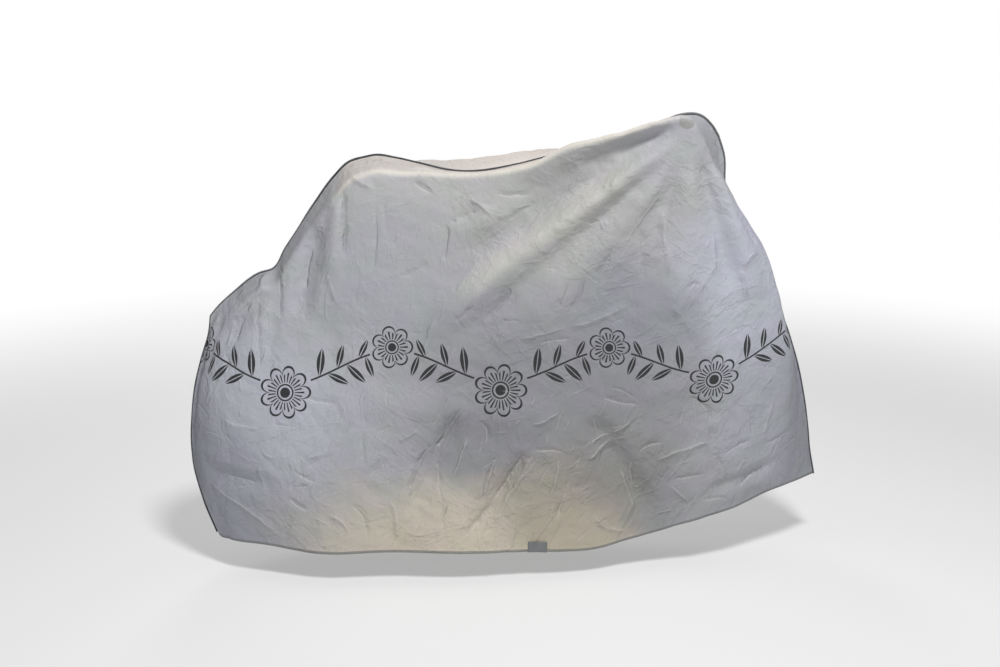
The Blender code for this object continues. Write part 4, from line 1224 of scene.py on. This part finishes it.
def relief(paint, where, z, stray):
    """Height of the film's facets, crease lines and wrinkles, which are too fine for the mesh."""
    low = z.eased(-0.25, -0.50) * 0.5 + 0.5
    height = facets(paint, where, 13.0, 0.085) * low
    height = height + facets(paint, where, 31.0, 0.08) * paint.noise(where, 5.0).eased(0.40, 0.65)
    uneven = paint.noise(where, 24.0, 2.0) * 2.0 + 0.2
    for layer, (steep, gentle) in enumerate(((0.0036, 0.0100), (0.0028, 0.0070))):
        height = height + crease_line(paint, layer, stray, steep, gentle) * uneven
    for turn, long_way, short_way, rise in WRINKLES:
        height = height + wrinkles(paint, where, turn, long_way, short_way) * rise
    return height + paint.noise(where, 70.0, 4.0, 0.6) * 0.0017


def film(name):
    """Silvery film: toned with painted light and shade, crinkled and printed, with painted light on the top,
    a painted highlight along the ridge and painted highlights along the creases, and darker at the hem.
    """
    paint = Paint(name, 0.58, Specular_IOR_Level=0.35)
    where, (x, y, z) = paint.place()
    colour = toned(paint, where, x, z)
    grain = paint.noise(where, 210.0, 2.0)
    # Painted light on the top strip between the seam and the ridge.
    crown = z.eased(-0.14, -0.06) * x.eased(0.74, 0.60) * x.eased(-0.11, -0.06)
    light = paint.attribute("top") * crown * (1.0 - x.eased(0.34, 0.10) * 0.35)
    colour = paint.mix(light, colour, (0.690, 0.625, 0.575, 1.0))
    # Painted highlight along the ridge.
    colour = paint.mix(paint.attribute("ridge") * crown * 0.7, colour, (0.72, 0.685, 0.600, 1.0))
    colour = paint.mix(grain.eased(0.35, 0.8) * 0.12, colour, (0.30, 0.30, 0.32, 1.0))
    stray = (paint.noise(where, 27.0, 3.0) - 0.5) * 0.014
    # Paler lines along the creases in the lower part: painted highlights on their crests.
    for layer in (0, 1):
        line = (1.0 - abs(paint.attribute("crease_across_%d" % layer) + stray) / 0.0027).most(0.0)
        line = line * (abs(paint.attribute("crease_rise_%d" % layer)) * 450.0).least(1.0)
        colour = paint.mix(line * z.eased(-0.30, -0.60) * 0.45, colour, (0.64, 0.63, 0.60, 1.0))
    mark_x, mark_z, mark_radius = PRESS_MARK
    off = ((x + CROWN_REST[0] - mark_x).squared() + (z + CROWN_REST[2] - mark_z).squared()).math("SQRT")
    pressed = off.eased(mark_radius + 0.0015, mark_radius - 0.0015) * (y < -0.12)
    pressed = pressed * (1.0 - paint.attribute("top"))
    colour = paint.mix(pressed * 0.85, colour, (0.285, 0.285, 0.275, 1.0))
    hem = paint.attribute("from_hem").eased(0.0076, 0.0066)
    colour = paint.mix(hem * 0.75, colour, (0.200, 0.203, 0.200, 1.0))
    ink = printed(paint)
    colour = paint.mix(ink * 0.97, colour, INK)
    rough = 0.54 + paint.noise(where, 14.0) * 0.10 - ink * 0.10
    normal = paint.bump(relief(paint, where, z, stray) - pressed * 0.0003, 1.0)
    normal = paint.bump(grain, 0.0002, 0.35, normal)
    return paint.finish(colour, rough, normal)


def tape(name):
    """Dark woven tape with fine ribs across it, with painted light at the front peak and on the rising rear
    of the top.
    """
    paint = Paint(name, 0.72)
    along, around = paint.map("weave")
    where, (x, _, z) = paint.place()
    rib = (along * (2.0 * math.pi / 0.0011)).math("SINE") * (around * (2.0 * math.pi / 0.0009)).math("SINE")
    worn = paint.noise(where, 34.0, 3.0)
    colour = paint.mix(worn.eased(0.3, 0.75), (0.055, 0.062, 0.068, 1.0), (0.155, 0.165, 0.172, 1.0))
    colour = paint.mix(rib * 0.25 + 0.25, colour, (0.04, 0.045, 0.05, 1.0))
    # Painted light: the tape is lighter at the front peak and on the rising rear of the top.
    colour = paint.mix(x.eased(0.58, 0.70) * z.eased(-0.25, -0.10) * 0.75, colour, (0.26, 0.265, 0.27, 1.0))
    slope = z.eased(-0.42, -0.36) * z.eased(-0.08, -0.16) * x.eased(0.1, 0.0)
    colour = paint.mix(slope * 0.7, colour, (0.22, 0.23, 0.245, 1.0))
    return paint.finish(colour, 0.66 + worn * 0.16, paint.bump(rib, 0.0003, 0.6))


def thread(name):
    """Dark twisted thread."""
    paint = Paint(name, 0.6)
    where, _ = paint.place()
    twist = paint.noise(where, 900.0, 2.0)
    colour = paint.mix(twist, (0.012, 0.014, 0.016, 1.0), (0.05, 0.055, 0.06, 1.0))
    return paint.finish(colour, None, paint.bump(twist, 0.0002, 0.5))


def tab_film(name):
    """Darker film of the patch on the hem."""
    paint = Paint(name, 0.5)
    where, _ = paint.place()
    tone = paint.noise(where, 60.0, 3.0)
    colour = paint.mix(tone, (0.15, 0.155, 0.16, 1.0), (0.215, 0.22, 0.225, 1.0))
    return paint.finish(colour, None, paint.bump(paint.noise(where, 160.0), 0.0006, 0.5))


# ---------------------------------------------------------------- the scene around it
KEY_PLACE = (0.75, -2.15, 2.75)
KEY_SIZE = 0.7
KEY_POWER = 132.0
FILL_PLACE = (-0.10, 3.20, 0.90)
FILL_SIZE = 1.6
FILL_POWER = 30.0
AMBIENT = 0.12
AIM = (0.35, 0.0, -0.45)                        # both lights point here
FLOOR_REACH = 14.0
FLOOR_PLAIN = 1.7        # beyond this distance the floor blends into the white backdrop
FLOOR_WHITE = 4.0
CAMERA_PLACE = (0.0649, -3.1911, 0.312)
CAMERA_DOWN = 13.308     # degrees
CAMERA_AROUND = -4.276
CAMERA_LENS = 47.056     # millimetres
CAMERA_SENSOR = 36.0


def pale_floor(name):
    """White floor that turns into the bright backdrop away from the object."""
    paint = Paint(name, 0.9)
    _, (x, y, _) = paint.place()
    far = ((x - 0.35).squared() + y.squared()).math("SQRT").eased(FLOOR_PLAIN, FLOOR_WHITE)
    far = far * 0.62 + 0.38
    paint.finish((0.9, 0.9, 0.9, 1.0))
    glow = paint.node("ShaderNodeEmission", inputs={"Color": (1.0, 1.0, 1.0, 1.0), "Strength": 1.0})
    shaded = Number(paint, paint.skin.outputs[0])
    both = paint.node("ShaderNodeMixShader", inputs={0: far, 1: shaded, 2: glow})
    paint.feed(paint.tree.nodes["Material Output"].inputs["Surface"], both)
    return paint.material


def studio(name):
    """Soft white surroundings, seen as plain white."""
    world = bpy.data.worlds.new(name)
    world.use_nodes = True
    tree = world.node_tree
    soft = tree.nodes["Background"]
    soft.inputs["Color"].default_value = (1.0, 1.0, 1.0, 1.0)
    soft.inputs["Strength"].default_value = AMBIENT
    seen = tree.nodes.new("ShaderNodeBackground")
    seen.inputs["Color"].default_value = (1.0, 1.0, 1.0, 1.0)
    path = tree.nodes.new("ShaderNodeLightPath")
    mix = tree.nodes.new("ShaderNodeMixShader")
    tree.links.new(path.outputs["Is Camera Ray"], mix.inputs[0])
    tree.links.new(soft.outputs[0], mix.inputs[1])
    tree.links.new(seen.outputs[0], mix.inputs[2])
    tree.links.new(mix.outputs[0], tree.nodes["World Output"].inputs["Surface"])
    return world


def area_light(name, place, size, energy):
    """Round soft light that the camera doesn't see."""
    light = bpy.data.lights.new(name, "AREA")
    light.shape = "DISK"
    light.size = size
    light.energy = energy
    lamp = bpy.data.objects.new(name, light)
    lamp.location = place
    lamp.rotation_euler = (Vector(AIM) - Vector(place)).to_track_quat("-Z", "Y").to_euler()
    lamp.visible_camera = False
    bpy.context.scene.collection.objects.link(lamp)


def set_scene():
    """Pale floor, soft white light and the camera."""
    floor_mesh = bpy.data.meshes.new("floor")
    reach, level = FLOOR_REACH, -CROWN_REST[2]
    floor_mesh.from_pydata([(-reach, -reach, level), (reach, -reach, level),
                            (reach, reach, level), (-reach, reach, level)], [], [(0, 1, 2, 3)])
    floor = bpy.data.objects.new("floor", floor_mesh)
    bpy.context.scene.collection.objects.link(floor)
    floor_mesh.materials.append(pale_floor("pale_floor"))
    bpy.context.scene.world = studio("studio")
    area_light("key", KEY_PLACE, KEY_SIZE, KEY_POWER)
    area_light("fill", FILL_PLACE, FILL_SIZE, FILL_POWER)
    bpy.context.scene.view_settings.view_transform = "Standard"

    lens = bpy.data.cameras.new("camera")
    lens.lens = CAMERA_LENS
    lens.sensor_width = CAMERA_SENSOR
    camera = bpy.data.objects.new("camera", lens)
    camera.location = CAMERA_PLACE
    camera.rotation_euler = (math.radians(90.0 - CAMERA_DOWN), 0.0, math.radians(CAMERA_AROUND))
    bpy.context.scene.collection.objects.link(camera)
    bpy.context.scene.camera = camera


def main():
    set_scene()
    right = panel_grid(RIGHT_SECTIONS, RIGHT_HEM, -1)
    left = panel_grid(LEFT_SECTIONS, LEFT_HEM, 1)
    right_surface = folded(right, RIGHT_FOLDS, RIGHT_CREASES, -1)
    left_surface = folded(left, LEFT_FOLDS, LEFT_CREASES, 1)
    right_creases = (RIGHT_CREASES, strewn_creases(-1))
    left_creases = (LEFT_CREASES, strewn_creases(1))
    silver = film("silver_film")
    right_film = side_panel("right_film", right, right_surface, right_creases, -1, silver)
    left_film = side_panel("left_film", left, left_surface, left_creases, 1, silver)
    binding = seam_binding(right, tape("binding_tape"))
    threads = seam_threads(right, thread("dark_thread"))
    tab = hem_patch(right, right_surface, tab_film("tab_film"))

    for piece, node, slot in ((right_film, "right_panel", "film"), (left_film, "left_panel", "film"),
                              (binding, "seam_binding", "binding"), (tab, "hem_patch", "patch")):
        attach(piece, "root")
        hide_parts(node)
    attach(threads, "root")


main()
